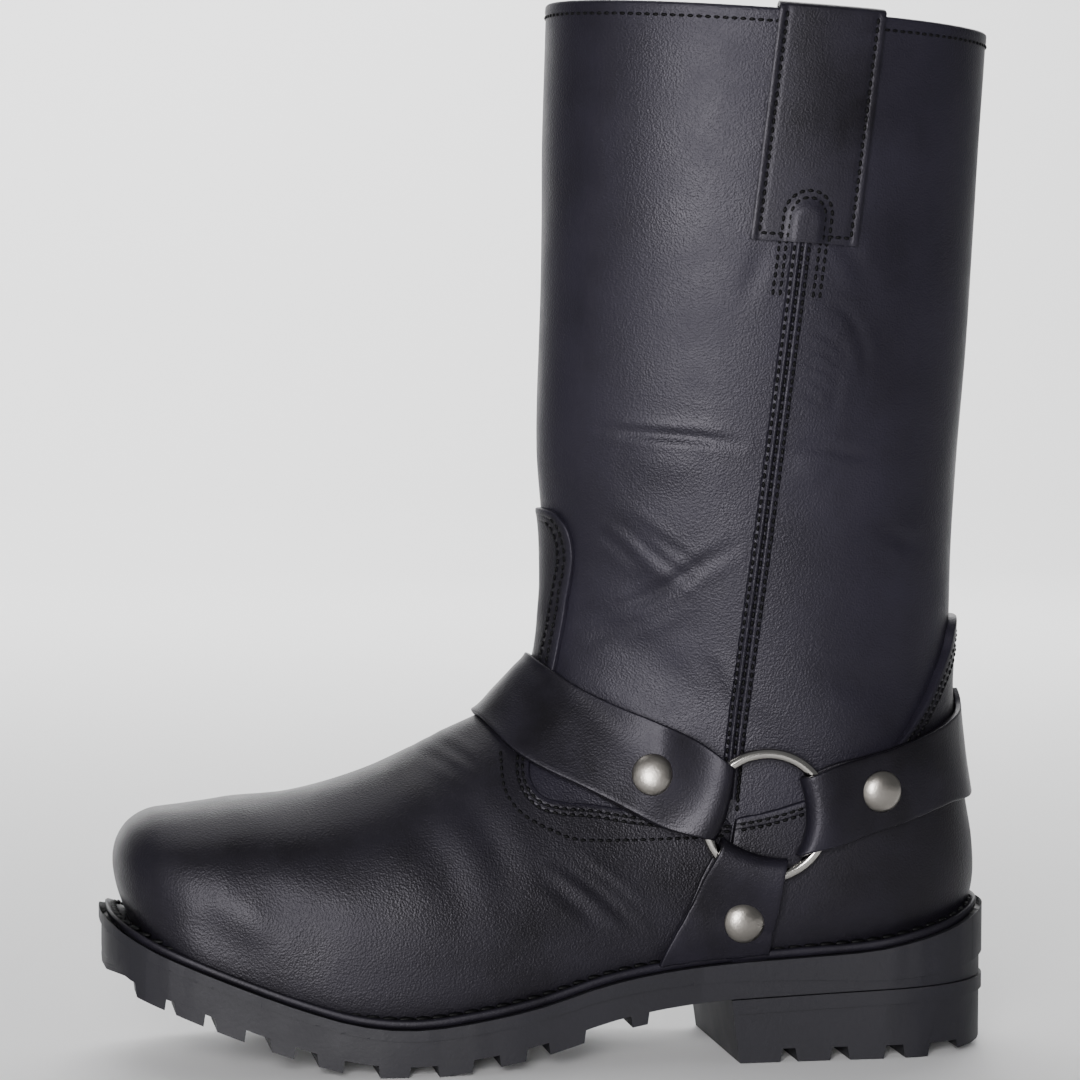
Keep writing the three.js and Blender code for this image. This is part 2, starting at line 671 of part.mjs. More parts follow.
const lowerPlan = planPrism(soleOutline(SIDE_STEP), -1, REACH);
const centreStrip = lengthwise(-HALF_SOLE, breastX, 0, CENTRE_ROW_WIDTH, -1, REACH);
const centreChannel = lengthwise(-HALF_SOLE, breastX, 0, CENTRE_ROW_WIDTH + 2 * CHANNEL_WIDTH, -1, REACH);
const underTop = (x) => (x > breastX ? heelTop(x) : rootLine(x));
const bandBody = sidePrism([...profile(soleTop), ...profile((x) => max(sideLine(x), underTop(x))).reverse()])
  .intersect(planPrism(soleOutline(0), 0, REACH));
const lowerBody = sidePrism([...profile((x) => soleTop(x) - SIDE_STEP), ...profile(underTop).reverse()])
  .intersect(lowerPlan);
const edgeLugs = wasm.Manifold.union(lugProfile(0)).subtract(centreChannel);
const centreLugs = wasm.Manifold.union(lugProfile(CENTRE_SHIFT)).intersect(centreStrip);
const outsole = bandBody.add(lowerBody).add(edgeLugs.add(centreLugs).intersect(lowerPlan));

const heelUnder = (x) => heelTop(x) - GAP;
const heelBandFoot = (x) => heelTop(x) - HEEL_BAND;
const heelFoot = breastX + HEEL_BREAST_LEAN;
const behindBreast = sidePrism([
  new THREE.Vector2(heelFoot, 0),
  new THREE.Vector2(REACH, 0),
  new THREE.Vector2(REACH, REACH),
  new THREE.Vector2(breastX, REACH),
  new THREE.Vector2(breastX, heelTop(breastX)),
]);
const heelProfile = (height) => profile(height, breastX, HALF_SOLE, HEEL_STEPS);
const heelBand = sidePrism([...heelProfile(heelUnder), ...heelProfile(heelBandFoot).reverse()])
  .intersect(planPrism(soleOutline(0), 0, REACH));
const heelRear = HALF_SOLE - HEEL_ROLL;
const heelBlock = sidePrism([
  new THREE.Vector2(breastX, 0),
  new THREE.Vector2(heelRear, 0),
  new THREE.Vector2(HALF_SOLE, HEEL_REAR_LIFT),
  ...heelProfile((x) => heelUnder(x) - GAP).reverse(),
]).intersect(planPrism(soleOutline(SIDE_STEP), 0, REACH));
const heelGrooves = HEEL_GROOVES.map(({ start, end }) => {
  const [a, b] = [breastX + start * HEEL_LENGTH, breastX + end * HEEL_LENGTH];
  return sidePrism([
    new THREE.Vector2(a - LUG_DRAFT, -1),
    new THREE.Vector2(b + LUG_DRAFT, -1),
    new THREE.Vector2(b, HEEL_LUG_DEPTH),
    new THREE.Vector2(a, HEEL_LUG_DEPTH),
  ]);
});
const channelFore = heelFoot + HEEL_CHANNEL_SETBACK;
const heelChannel = lengthwise(channelFore, HALF_SOLE, 0, CHANNEL_WIDTH, -1, HEEL_LUG_DEPTH);
const heel = heelBand.add(heelBlock).intersect(behindBreast)
  .subtract(wasm.Manifold.union([...heelGrooves, heelChannel]));

// Straps and rings. The rings stand upright at the boot's sides, clear of the leather under them.
const ringCentre = sidePoint(RING_CENTRE);
const wireLow = STRAP_THICKNESS + RING_PLAY;
const foldHeight = 2 * wireLow + RING_WIRE;

function loopDirection(name) {
  const angle = degToRad(LOOPS[name].angle);
  return new THREE.Vector2(cos(angle), sin(angle));
}

// Outward distance of the flat plane that the loops at a ring start from.
function ringPlane(side) {
  let half = 0;
  for (let turn = 0; turn < RING_SIDES; turn += 1) {
    const angle = turn * 2 * PI / RING_SIDES;
    const x = ringCentre.x + cos(angle) * RING_MEAN;
    const z = ringCentre.y + sin(angle) * RING_MEAN;
    half = max(half, halfAt(x, z, side));
  }
  return half + COUNTER_OUT + GAP;
}

const planes = { lateral: ringPlane('lateral'), medial: ringPlane('medial') };

// Outward distance of a strap's leather: flat at the ring, and following the boot further away.
function leatherOut(place, run, depth, side, height) {
  const z = max(place.y, soleTop(place.x) + WELT_THICKNESS + STRAP_HANG);
  const free = halfAt(place.x, z, side) + depth * steepness(place.x, z, side);
  return lerp(planes[side] + height, free, smoothstep(run, LOOP_FLAT, LOOP_CLEAR + LOOP_STATION));
}

// One strap's end folded round the ring's wire, and its leather from there on over the boot.
function loop(name, side) {
  const { length, end, flare, over } = LOOPS[name];
  const heading = loopDirection(name);
  const across = new THREE.Vector2(-heading.y, heading.x);
  const base = (over === 'vamp' ? VAMP_OUT : COUNTER_OUT) + GAP + FACET_GAP;
  const T = STRAP_THICKNESS;
  const bendX = FOLD_REACH + foldHeight / 2;
  const stations = (from, to) => {
    const count = Math.ceil(abs(to - from) / LOOP_STATION);
    return Array.from({ length: count }, (_, k) => lerp(from, to, k / count));
  };
  const outline = new THREE.Shape();
  outline.moveTo(bendX, 0);
  stations(bendX, length).slice(1).forEach((run) => outline.lineTo(run, 0));
  outline.lineTo(length, 0);
  if (end < length) {
    outline.lineTo(length, T);
    outline.lineTo(end + LOOP_SKIVE, T);
  }
  stations(end, LOOP_CLEAR).forEach((run) => outline.lineTo(run, 2 * T));
  outline.lineTo(LOOP_CLEAR, 2 * T);
  outline.lineTo(LOOP_FLAT + T, foldHeight);
  outline.absarc(bendX, foldHeight / 2, foldHeight / 2, PI / 2, 3 * PI / 2, false);
  const slot = new THREE.Path();
  slot.moveTo(LOOP_CLEAR - T, T + GAP / 2);
  slot.lineTo(LOOP_FLAT + T, foldHeight - T);
  slot.absarc(bendX, foldHeight / 2, foldHeight / 2 - T, PI / 2, 3 * PI / 2, false);
  slot.closePath();
  outline.holes.push(slot);
  const settings = { depth: 2, steps: 2, bevelEnabled: false, curveSegments: 4 };
  const geometry = new THREE.ExtrudeGeometry(outline, settings);
  const points = geometry.attributes.position;
  for (let i = 0; i < points.count; i += 1) {
    const e = points.getZ(i) - 1;
    const run = points.getX(i);
    const wide = smoothstep(run, bendX, LOOP_CLEAR);
    const half = (STRAP_WIDTH + flare * smoothstep(run, FOLD_REACH, length)) / 2 - FOLD_NECK * (1 - wide);
    const pull = FOLD_BOW * e * e * (1 - wide);
    const place = ringCentre.clone();
    place.addScaledVector(heading, run - pull).addScaledVector(across, e * half);
    const out = leatherOut(place, run, base + points.getY(i), side, points.getY(i));
    points.setXYZ(i, place.x, SIDES[side] * out, place.y);
  }
  return solidOf(geometry);
}

const strapInner = form(VAMP_OUT + GAP, bridgedSections);
const strapOuter = form(VAMP_OUT + GAP + STRAP_THICKNESS, bridgedSections);
const strapFront = shell(strapInner, strapOuter, FRONT_STRAP.map(sidePoint))
  .add(loop('front', 'lateral')).add(loop('front', 'medial'));
const rearInner = form(COUNTER_OUT + GAP);
const rearOuter = form(COUNTER_OUT + GAP + STRAP_THICKNESS);
const strapRear = shell(rearInner, rearOuter, REAR_STRAP.map(sidePoint))
  .add(loop('rear', 'lateral')).add(loop('rear', 'medial'));
const overWelt = aboveSole(2 * GAP + WELT_THICKNESS);
const strapLower = (side) => loop('lower', side).intersect(overWelt);

function ring(side) {
  const geometry = new THREE.TorusGeometry(RING_MEAN, RING_WIRE / 2, WIRE_SIDES, RING_SIDES);
  geometry.rotateX(PI / 2);
  geometry.translate(ringCentre.x, SIDES[side] * (planes[side] + foldHeight / 2), ringCentre.y);
  return solidOf(geometry);
}

// A domed rivet through a strap's doubled end, square to the leather under it.
function rivet(name, side) {
  const place = sidePoint(LOOPS[name].rivet);
  const base = (LOOPS[name].over === 'vamp' ? VAMP_OUT : COUNTER_OUT) + GAP + 2 * FACET_GAP;
  const top = (dx, dz) => {
    const spot = place.clone().add(new THREE.Vector2(dx, dz));
    const run = spot.clone().sub(ringCentre).dot(loopDirection(name));
    return leatherOut(spot, run, base + 2 * STRAP_THICKNESS, side, 2 * STRAP_THICKNESS);
  };
  const step = RIVET_WIDTH / 2;
  const lean = (dx, dz) => (top(dx, dz) - top(-dx, -dz)) / (2 * step);
  const [leanX, leanZ] = [lean(step, 0), lean(0, step)];
  const face = new THREE.Vector3(-leanX, SIDES[side], -leanZ).normalize();
  const rises = Array.from({ length: RIVET_SIDES }, (_, k) => {
    const angle = k * 2 * PI / RIVET_SIDES;
    const [dx, dz] = [step * cos(angle), step * sin(angle)];
    return top(dx, dz) - top(0, 0) - leanX * dx - leanZ * dz;
  });
  const rise = max(0, ...rises);
  const out = top(0, 0) + rise + GAP + FACET_GAP;
  const sphere = (RIVET_WIDTH ** 2 / 4 + RIVET_HEIGHT ** 2) / (2 * RIVET_HEIGHT);
  const dome = [new THREE.Vector2(0, -RIVET_SHANK), new THREE.Vector2(RIVET_SHANK / 2, -RIVET_SHANK)];
  dome.push(new THREE.Vector2(RIVET_SHANK / 2, 0));
  for (let i = 0; i <= DOME_STEPS; i += 1) {
    const radius = RIVET_WIDTH / 2 * cos(i * PI / 2 / DOME_STEPS);
    dome.push(new THREE.Vector2(radius, sqrt(sphere ** 2 - radius ** 2) - sphere + RIVET_HEIGHT));
  }
  const geometry = new THREE.LatheGeometry(dome, RIVET_SIDES);
  const turn = new THREE.Quaternion().setFromUnitVectors(new THREE.Vector3(0, 1, 0), face);
  geometry.applyQuaternion(turn);
  geometry.translate(place.x, SIDES[side] * out, place.y);
  const seated = (radius, height, sides, shift) => {
    const cylinder = new THREE.CylinderGeometry(radius, radius, height, sides);
    cylinder.translate(0, shift, 0);
    cylinder.applyQuaternion(turn);
    cylinder.translate(place.x, SIDES[side] * out, place.y);
    return solidOf(cylinder);
  };
  const hole = seated(RIVET_SHANK / 2 + GAP, 2 * RIVET_SHANK + 2 * GAP, SHANK_SIDES, 0)
    .add(seated(RIVET_WIDTH / 2 + GAP, RIVET_HEIGHT, RIVET_SIDES, RIVET_HEIGHT / 2 - GAP));
  return { solid: solidOf(geometry), hole };
}

// A pull strap folded over the collar, outside and inside, in line with the side seam.
function pullStrap(side) {
  const seamTop = sidePoint(SEAM_LINE.top);
  const seamFoot = sidePoint(SEAM_LINE.foot);
  const slant = (seamTop.x - seamFoot.x) / (seamTop.y - seamFoot.y);
  const topX = seamTop.x + slant * (collarFront.y - seamTop.y);
  const collar = collarAt(topX);
  const foot = collar - PULL_LENGTH;
  const crown = collar + PULL_CLEAR;
  const [near, far] = [GAP, GAP + PULL_THICKNESS];
  const inside = -WALL;
  const middle = (inside - PULL_LINING_GAP + near) / 2;
  const reach = far - middle;
  const arch = (radius) => [1, 2, 3, 4, 5].map((k) => new THREE.Vector2(
    middle + radius * cos(k * PI / 6), crown + PULL_ARCH * radius * sin(k * PI / 6)));
  const levels = [0, 1, 2, 3].map((k) => lerp(foot, crown, k / 3));
  const outline = new THREE.Shape([
    ...levels.map((z) => new THREE.Vector2(far, z)),
    ...arch(reach),
    ...levels.map((z) => new THREE.Vector2(middle - reach, z)).reverse(),
    ...levels.map((z) => new THREE.Vector2(inside - PULL_LINING_GAP, z)),
    ...levels.map((z) => new THREE.Vector2(near, z)).reverse(),
  ]);
  const geometry = new THREE.ExtrudeGeometry(outline, { depth: 2, steps: 4, bevelEnabled: false });
  const points = geometry.attributes.position;
  for (let i = 0; i < points.count; i += 1) {
    const z = points.getY(i);
    const x = topX + slant * (z - collar) + (points.getZ(i) - 1) * PULL_WIDTH / 2;
    const drop = collarAt(x) - collar;
    const out = halfAt(x, z + drop, side) + points.getX(i) * steepness(x, z + drop, side);
    points.setXYZ(i, x, SIDES[side] * out, z + drop);
  }
  return solidOf(geometry);
}

const rivets = {};
const holes = [];
for (const name of Object.keys(LOOPS)) {
  for (const side of Object.keys(SIDES)) {
    const { solid, hole } = rivet(name, side);
    rivets[`rivet_${name}_${side}`] = solid;
    holes.push(hole);
  }
}
const pierced = (strap) => strap.subtract(wasm.Manifold.union(holes));

const pieces = {
  upper,
  insole,
  vamp,
  counter,
  welt,
  outsole,
  heel,
  seam_lateral: seam('lateral'),
  seam_medial: seam('medial'),
  strap_front: pierced(strapFront),
  strap_rear: pierced(strapRear),
  strap_lower_lateral: pierced(strapLower('lateral')),
  strap_lower_medial: pierced(strapLower('medial')),
  ring_lateral: ring('lateral'),
  ring_medial: ring('medial'),
  pull_strap_lateral: pullStrap('lateral'),
  pull_strap_medial: pullStrap('medial'),
  ...rivets,
};

const leather = { color: 0x26262b, roughness: 0.42, metalness: 0 };
const lining = { color: 0x3a3836, roughness: 0.8, metalness: 0 };
const strap = { color: 0x222227, roughness: 0.38, metalness: 0 };
const rubber = { color: 0x303036, roughness: 0.7, metalness: 0 };
const thread = { color: 0x1a1a1c, roughness: 0.6, metalness: 0 };
const nickel = { color: 0xcdcac4, roughness: 0.18, metalness: 1 };
const antique = { color: 0xa8a6a2, roughness: 0.35, metalness: 1 };
const FINISHES = {
  insole: lining,
  welt: thread,
  outsole: rubber,
  heel: rubber,
  strap,
  pull: strap,
  ring: nickel,
  rivet: antique,
};

const boot = new THREE.Group();
for (const [name, solid] of Object.entries(pieces)) {
  const finish = FINISHES[name.split('_')[0]] ?? leather;
  const { vertProperties, triVerts } = solid.getMesh();
  const geometry = new THREE.BufferGeometry();
  geometry.setAttribute('position', new THREE.BufferAttribute(vertProperties, 3));
  geometry.setIndex(new THREE.BufferAttribute(triVerts, 1));
  const mesh = new THREE.Mesh(geometry, new THREE.MeshStandardMaterial(finish));
  mesh.name = name;
  boot.add(mesh);
}

export default boot;
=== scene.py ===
"""Dresses a packed left harness boot: leather, lining, stitching, hardware and sole round its solids.

Lengths in the tables are millimetres: X from toe to heel, -Y the outer side, Z up from the floor.
"""

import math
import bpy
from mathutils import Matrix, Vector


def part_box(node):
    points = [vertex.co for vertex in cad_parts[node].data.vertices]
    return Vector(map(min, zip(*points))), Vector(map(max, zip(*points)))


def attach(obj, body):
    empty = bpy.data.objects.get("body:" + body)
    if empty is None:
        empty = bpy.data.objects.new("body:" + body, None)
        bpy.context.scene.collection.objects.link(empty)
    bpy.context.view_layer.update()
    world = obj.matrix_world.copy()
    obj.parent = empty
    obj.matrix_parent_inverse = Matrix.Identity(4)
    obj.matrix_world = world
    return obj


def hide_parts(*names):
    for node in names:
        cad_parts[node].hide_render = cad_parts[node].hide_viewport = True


bl_info = {
    "name": "Harness Boot",
    "version": (1, 0, 0),
    "blender": (4, 5, 0),
    "location": "3D View > Sidebar > Harness Boot",
    "description": "Builds the leather, stitching, hardware and sole of a left harness boot",
    "category": "Add Mesh",
}

import bmesh
import bpy
import numpy as np
from bpy.props import FloatProperty, FloatVectorProperty, PointerProperty
from mathutils import Matrix, Vector, kdtree

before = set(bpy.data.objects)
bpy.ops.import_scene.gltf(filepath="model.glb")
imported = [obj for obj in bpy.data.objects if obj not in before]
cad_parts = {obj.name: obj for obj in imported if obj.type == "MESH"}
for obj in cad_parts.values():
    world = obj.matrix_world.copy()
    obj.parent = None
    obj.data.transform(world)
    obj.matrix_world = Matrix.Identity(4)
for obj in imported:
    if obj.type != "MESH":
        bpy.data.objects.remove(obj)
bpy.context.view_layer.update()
MM = 0.001
OUTER, INNER = 1, -1
SIDES = {"lateral": OUTER, "medial": INNER}

# Sections of the lasted boot from the toe's tip to above the collar: front x and z, back x and z,
# half widths outside and inside, place of the widest point as a share from back to front, and the
# squareness of the front and of the back.
SECTIONS = (
    (-149.5, 68.3, -149.5, 68.3, 0, 0, 0.42, 2.5, 2.4),
    (-149.4, 70.3, -149.4, 65.5, 7.7, 7.7, 0.42, 2.5, 2.4),
    (-149, 72.3, -149, 62.7, 12.6, 12.6, 0.42, 2.5, 2.41),
    (-148.3, 74.6, -148.3, 59.4, 17.4, 17.4, 0.42, 2.5, 2.54),
    (-147.1, 76.9, -147.1, 55.6, 22.1, 22.1, 0.42, 2.5, 2.68),
    (-145.5, 79.1, -145.5, 51.7, 26.3, 26.3, 0.42, 2.5, 2.82),
    (-143.5, 80.9, -143.5, 47.7, 30, 30, 0.42, 2.5, 3),
    (-140.7, 82.6, -140.7, 43, 33.7, 33.7, 0.42, 2.5, 3.21),
    (-137.5, 83.8, -137.5, 38.5, 36.8, 36.8, 0.42, 2.5, 3.4),
    (-133.5, 84.4, -133.5, 33.8, 39.6, 39.6, 0.42, 2.5, 3.6),
    (-128.7, 84.9, -128.7, 29.3, 42, 42, 0.42, 2.5, 3.77),
    (-123.1, 85.6, -123.1, 25.4, 43.7, 43.7, 0.42, 2.5, 3.89),
    (-116.7, 86.5, -116.7, 22.5, 44.8, 44.8, 0.42, 2.5, 3.95),
    (-109.9, 87.6, -109.9, 19.8, 45.5, 45, 0.38, 2.5, 4),
    (-91.9, 89.1, -90.1, 12.7, 48.3, 47.8, 0.36, 2.4, 4),
    (-76, 92.8, -70, 7.3, 49.8, 48.8, 0.34, 2.3, 4),
    (-61, 98, -48.1, 6, 50, 47.5, 0.33, 2.2, 4),
    (-46.9, 104.6, -24.1, 9.2, 48.5, 44.8, 0.32, 2.1, 4),
    (-34, 111.2, 2, 15.4, 45.8, 40.8, 0.31, 2, 3.9),
    (-22.9, 116.3, 29.9, 21.8, 42.5, 37.3, 0.31, 2, 3.7),
    (-13.6, 121.6, 59.9, 24.7, 39.8, 35.8, 0.32, 2, 3.4),
    (-7, 128.7, 88.1, 26.2, 38.3, 35.5, 0.34, 2, 3.1),
    (-3.7, 136.7, 112.1, 28, 37.5, 35.8, 0.36, 2, 2.8),
    (-2.2, 145.3, 131.9, 32.2, 37.3, 36, 0.38, 2, 2.6),
    (-1.6, 153.3, 143.9, 39.8, 37.3, 36.3, 0.4, 2, 2.4),
    (-1, 161.5, 149.6, 55.9, 37.5, 36.8, 0.41, 2, 2.3),
    (-1, 170.5, 149.9, 70.1, 38.5, 37.8, 0.42, 2, 2.2),
    (-1.3, 180.3, 147.5, 84.9, 39, 38.3, 0.43, 2, 2.2),
    (-2.5, 193, 144.8, 102.9, 39.8, 39.3, 0.45, 2, 2.1),
    (-3.7, 208.7, 142.7, 124, 41, 40.5, 0.46, 2.05, 2.1),
    (-3.7, 225.7, 143.6, 148, 42.3, 42, 0.47, 2.1, 2.1),
    (-3.1, 244.9, 144.2, 178, 43.8, 43.5, 0.48, 2.1, 2.1),
    (-2.5, 266.1, 146, 209.9, 45.3, 45, 0.48, 2.1, 2.1),
    (-2.2, 290.2, 148.7, 244.9, 46.8, 46.5, 0.48, 2.1, 2.1),
    (-2.2, 315.2, 150.8, 282.8, 48, 47.8, 0.48, 2.1, 2.1),
    (-1.6, 340.2, 152.6, 317.9, 49, 49, 0.48, 2.1, 2.1),
    (-1, 364, 154.7, 352, 50, 50, 0.48, 2.1, 2.1),
    (-0.7, 383, 155.9, 373.4, 50.5, 50.5, 0.48, 2.1, 2.1),
)
# Where the front strap spans the instep's hollow.
INSTEP_CHORD = ((-24.4, 114.3), (-2.8, 137.2))

# Height of the sole's top edge, and half widths outside and inside before its ends are rounded.
SOLE_TOP = (
    (-156, 52), (-149.8, 47.48), (-140.4, 42.41), (-132.6, 38.97), (-109.2, 29.56), (-90.5, 22.86),
    (-71.8, 17.61), (-53, 15.8), (-32.8, 17.8), (-9.4, 22.2), (14, 28.8), (34.3, 32.4),
    (57.7, 34.6), (81.1, 35.8), (109.2, 37.6), (127.9, 41.2), (142, 45.1), (151.3, 48.85),
    (156, 50.8),
)
SOLE_PLAN = (
    (-156, 44.8, 45.36), (-135.7, 47.04, 48.16), (-109.2, 50.12, 52.36), (-85.8, 53.48, 55.44),
    (-70.2, 55.16, 56), (-46.8, 56, 54.04), (-23.4, 54.6, 49.28), (0, 51.24, 42.84),
    (23.4, 48.16, 39.48), (46.8, 44.8, 37.52), (70.2, 42.84, 37.52), (93.6, 41.44, 38.92),
    (124.8, 40.32, 40.04), (156, 39.2, 39.76),
)
HALF_SOLE = 156.0
TOE_ROUND = (42, 3)
HEEL_ROUND = (44, 2.3)

# Edges of the leather pieces seen from the side.
VAMP_EDGE = (
    (-8.5, 188.9), (-1.3, 189.4), (2.3, 187.5), (4.7, 183.9), (6.3, 178.5), (6.8, 172.3),
    (6, 164.5), (3.5, 146.9), (0.5, 131.9), (-4.3, 117.5), (-9.7, 105.1), (-10.9, 99.3),
    (-9.7, 94.6), (-6.1, 91), (0.5, 89.4), (11, 88.5), (26, 86.2), (45.5, 84.1), (58.7, 83.2),
)
VAMP_FOOT = 44.9
COUNTER_EDGE = (
    (60.5, 83.8), (71, 85.8), (81.5, 88.8), (93.5, 92.9), (105.5, 99.2), (116, 107.6),
    (124.1, 116.8), (131, 126.9), (137.9, 139.3), (143.9, 151.8), (165.5, 157.8),
)
SEAM_TOP, SEAM_FOOT = (80.6, 290.0), (58.1, 90.6)
COLLAR_FRONT, COLLAR_SLOPE = (-1.0, 364.0), -8.5 / 150

# Straps: edges from the ring to the middle line in front or behind, seen from the side.
RING_CENTRE = (69.2, 85.73)
FRONT_STRAP = {
    "upper": (
        (58.9, 104.0), (49.7, 109.7), (34.0, 117.0), (21.7, 121.8), (9.0, 128.0), (0.5, 134.0),
        (-5.5, 140.0),
    ),
    "lower": (
        (51.6, 75.6), (42.0, 78.4), (31.3, 81.9), (18.0, 88.5), (4.4, 95.2), (-8.0, 101.2),
        (-17.1, 107.0), (-25.5, 116.5),
    ),
}
REAR_STRAP = {
    "upper": ((86.0, 101.8), (93.9, 103.5), (112.0, 107.4), (130.8, 113.4), (141.0, 118.5), (146.5, 123.3)),
    "lower": ((84.5, 71.8), (92.3, 74.2), (105.0, 78.5), (117.9, 82.5), (135.0, 87.0), (149.5, 89.4)),
}
RIVETS = {"front": (30.5, 99.9), "rear": (110.0, 93.5), "lower": (61.7, 49.4)}
HEADINGS = {"front": 160.0, "rear": 12.6, "lower": -109.0}
RING_PLANE = {OUTER: 40.98, INNER: 39.78}

# Rows of stitches: their places in the side view, or how far each lies beside its edge.
STITCH_PITCH = 3.0
VAMP_ROWS = (-1.9, -3.7)
STRAP_FOOT_ROW = ((50.5, 69.0), (47.5, 60.0), (44.0, 50.0), (40.5, 42.0), (38.5, 37.0))
VAMP_OUTER_ROW = (
    (-19.5, 106), (-19.4, 93.8), (-14.3, 86.1), (-2.2, 79.6), (6.6, 77.2), (39.4, 77.4), (56.1, 78.2),
)
COUNTER_ROWS = (-1.8, -3.8)
SEAM_ROWS = (2.5, -0.1, -2.5)
SEAM_TACKS = (((52.6, 88), (54.6, 104)), ((55.2, 86), (58.4, 104)), ((60.5, 86), (62.4, 104)))
COLLAR_ROW = 3.5
ARCH_RADII = (8.2, 5.8)
ARCH_CENTRE = 9.5
ARCH_TAIL = 19.0

# Sizes and thicknesses of the leather pieces and the ring.
PULL_LENGTH = 78.0
PULL_HALF = 18.5
WALL = 2.2
VAMP_OUT = 1.8
COUNTER_OUT = 2.8
SEAM_OUT = 1.15
SEAM_HALF = 3.5
STRAP_THICKNESS = 2.3
FOLD_HEIGHT = 9.2
FOLD_CENTRE = 18.0
RING_RADIUS = 21.35
WIRE_RADIUS = 1.95
FOLD_STEPS = 12

# Runs along a strap from its ring's centre: where its neck ends, where it leaves the ring and lies on
# the boot, where its stations grow wider, and over which stretch its doubled end runs out.
NECK_END = 32.0
LEAVES_RING, ON_BOOT = 18.0, 41.0
WIDER_STEPS = 36.0
DOUBLED_ENDS = (44.0, 72.0)
LONG_STRAP_RUN, LOWER_STRAP_RUN = 74.0, 62.0
STRAP_CLEARANCE = 0.3
COLLAR_BAND = 80.0

# Half sections as (radius or inset from the sole's edge, height).
RIVET_PROFILE = (
    (0, 3.2), (2.2, 3.1), (4.2, 2.65), (5.7, 1.95), (6.6, 1.15), (6.95, 0.75), (7.2, 0.45),
    (7.15, 0.1), (6.7, -0.2), (2.2, -0.3), (2.0, -3.6),
)
WELT_PROFILE = (
    (16, 3.0), (9, 3.15), (6.4, 3.2), (5.2, 2.9), (4.2, 3.15), (3.2, 3.3), (2.6, 3.1),
    (2.25, 2.6), (2.2, 1.6), (2.35, 0.4), (3.2, 0.3),
)

# Folds and creases of the leather as (line, half width, depth): troughs are positive.
CREASES = (
    (((14, 218), (22, 217), (33, 216), (46, 215), (60, 213)), 1.7, 0.75),
    (((20, 211), (34, 208), (50, 206)), 7.0, -0.55),
    (((17, 188), (26, 181), (34, 174), (43, 167)), 2.2, 0.5),
    (((22, 189), (31, 182), (39, 176), (46, 171)), 1.7, 0.35),
    (((12, 184), (20, 178), (28, 171)), 2.0, 0.3),
    (((10, 149), (20, 155), (32, 161), (45, 170), (58, 178)), 2.2, 0.65),
    (((8, 142), (18, 148), (30, 153), (41, 160)), 2.2, 0.4),
    (((28, 176), (36, 168), (40, 164)), 5.0, -0.4),
    (((26, 150), (36, 155), (44, 160)), 5.0, -0.4),
    (((80, 252), (88, 250), (94, 245), (97, 238)), 1.5, 0.3),
    (((79, 247), (87, 245), (93, 240), (95, 233)), 1.5, 0.35),
    (((79, 242), (86, 240), (92, 235), (94, 228)), 1.5, 0.35),
    (((78, 237), (85, 235), (91, 230), (93, 223)), 1.5, 0.3),
    (((78, 232), (84, 230), (90, 226)), 1.5, 0.3),
    (((88, 262), (96, 258), (102, 248), (104, 236)), 1.7, 0.35),
    (((77, 211), (88, 212), (98, 210), (108, 208)), 1.7, 0.5),
    (((78, 206), (86, 204), (92, 204)), 4.5, -0.45),
    (((88, 290), (94, 283), (100, 274), (104, 266)), 3.0, 0.3),
    (((60, 262), (64, 272), (67, 282)), 3.0, 0.25),
    (((108, 188), (118, 180), (130, 176)), 3.0, 0.3),
    (((47, 140), (52, 134), (55, 124)), 3.0, 0.3),
    (((92, 132), (104, 130), (118, 134)), 5.0, 0.4),
    (((8, 128), (16, 122), (27, 116)), 3.0, 0.4),
)
VAMP_CREASES = (
    (((-60, 88), (-48, 78), (-40, 66), (-36, 52)), 6.0, 0.3),
    (((-44, 98), (-32, 88), (-24, 74), (-21, 60)), 5.0, 0.35),
    (((-40, 107), (-33, 104), (-27, 99)), 1.8, 0.4),
    (((-45, 104), (-37, 101), (-30, 95)), 1.8, 0.35),
    (((-3, 70), (6, 64), (15, 57), (24, 48)), 1.9, 0.5),
    (((1, 72), (10, 66), (18, 60), (26, 53)), 1.7, 0.4),
    (((-8, 64), (2, 57), (12, 48)), 2.2, 0.35),
    (((-112, 62), (-108, 54), (-100, 44)), 6.0, -0.6),
    (((-124, 60), (-120, 50), (-114, 40)), 6.0, 0.35),
    (((-92, 56), (-84, 46), (-78, 36)), 7.0, 0.3),
)


def hermite(knots, values, at):
    """Smooth curve through values at knots."""
    knots, values = np.asarray(knots, float), np.asarray(values, float)
    last = len(knots) - 1
    at = np.clip(np.asarray(at, float), knots[0], knots[-1])
    i = np.clip(np.searchsorted(knots, at, side="right") - 1, 0, last - 1)
    before, after = np.maximum(i - 1, 0), np.minimum(i + 2, last)
    step = knots[i + 1] - knots[i]
    t = (at - knots[i]) / step
    p0, p1 = values[i], values[i + 1]
    m0 = (values[i + 1] - values[before]) / (knots[i + 1] - knots[before]) * step
    m1 = (values[after] - values[i]) / (knots[after] - knots[i]) * step
    return (((2 * p0 - 2 * p1 + m0 + m1) * t + 3 * p1 - 3 * p0 - 2 * m0 - m1) * t + m0) * t + p0


def smoothstep(value, low, high):
    t = np.clip((value - low) / (high - low), 0, 1)
    return t * t * (3 - 2 * t)


def sole_top(x):
    table = np.array(SOLE_TOP)
    return hermite(table[:, 0], table[:, 1], x)


def collar_height(x):
    return COLLAR_FRONT[1] + COLLAR_SLOPE * (x - COLLAR_FRONT[0])


def smooth_line(points, step=1.0):
    """A smooth line through points, in even steps."""
    points = np.array(points, float)
    knots = np.concatenate([[0], np.cumsum(np.hypot(*np.diff(points, axis=0).T))])
    count = max(int(round(knots[-1] / step)), 2)
    at = np.linspace(0, knots[-1], count + 1)
    return np.stack([hermite(knots, points[:, k], at) for k in range(2)], axis=1)


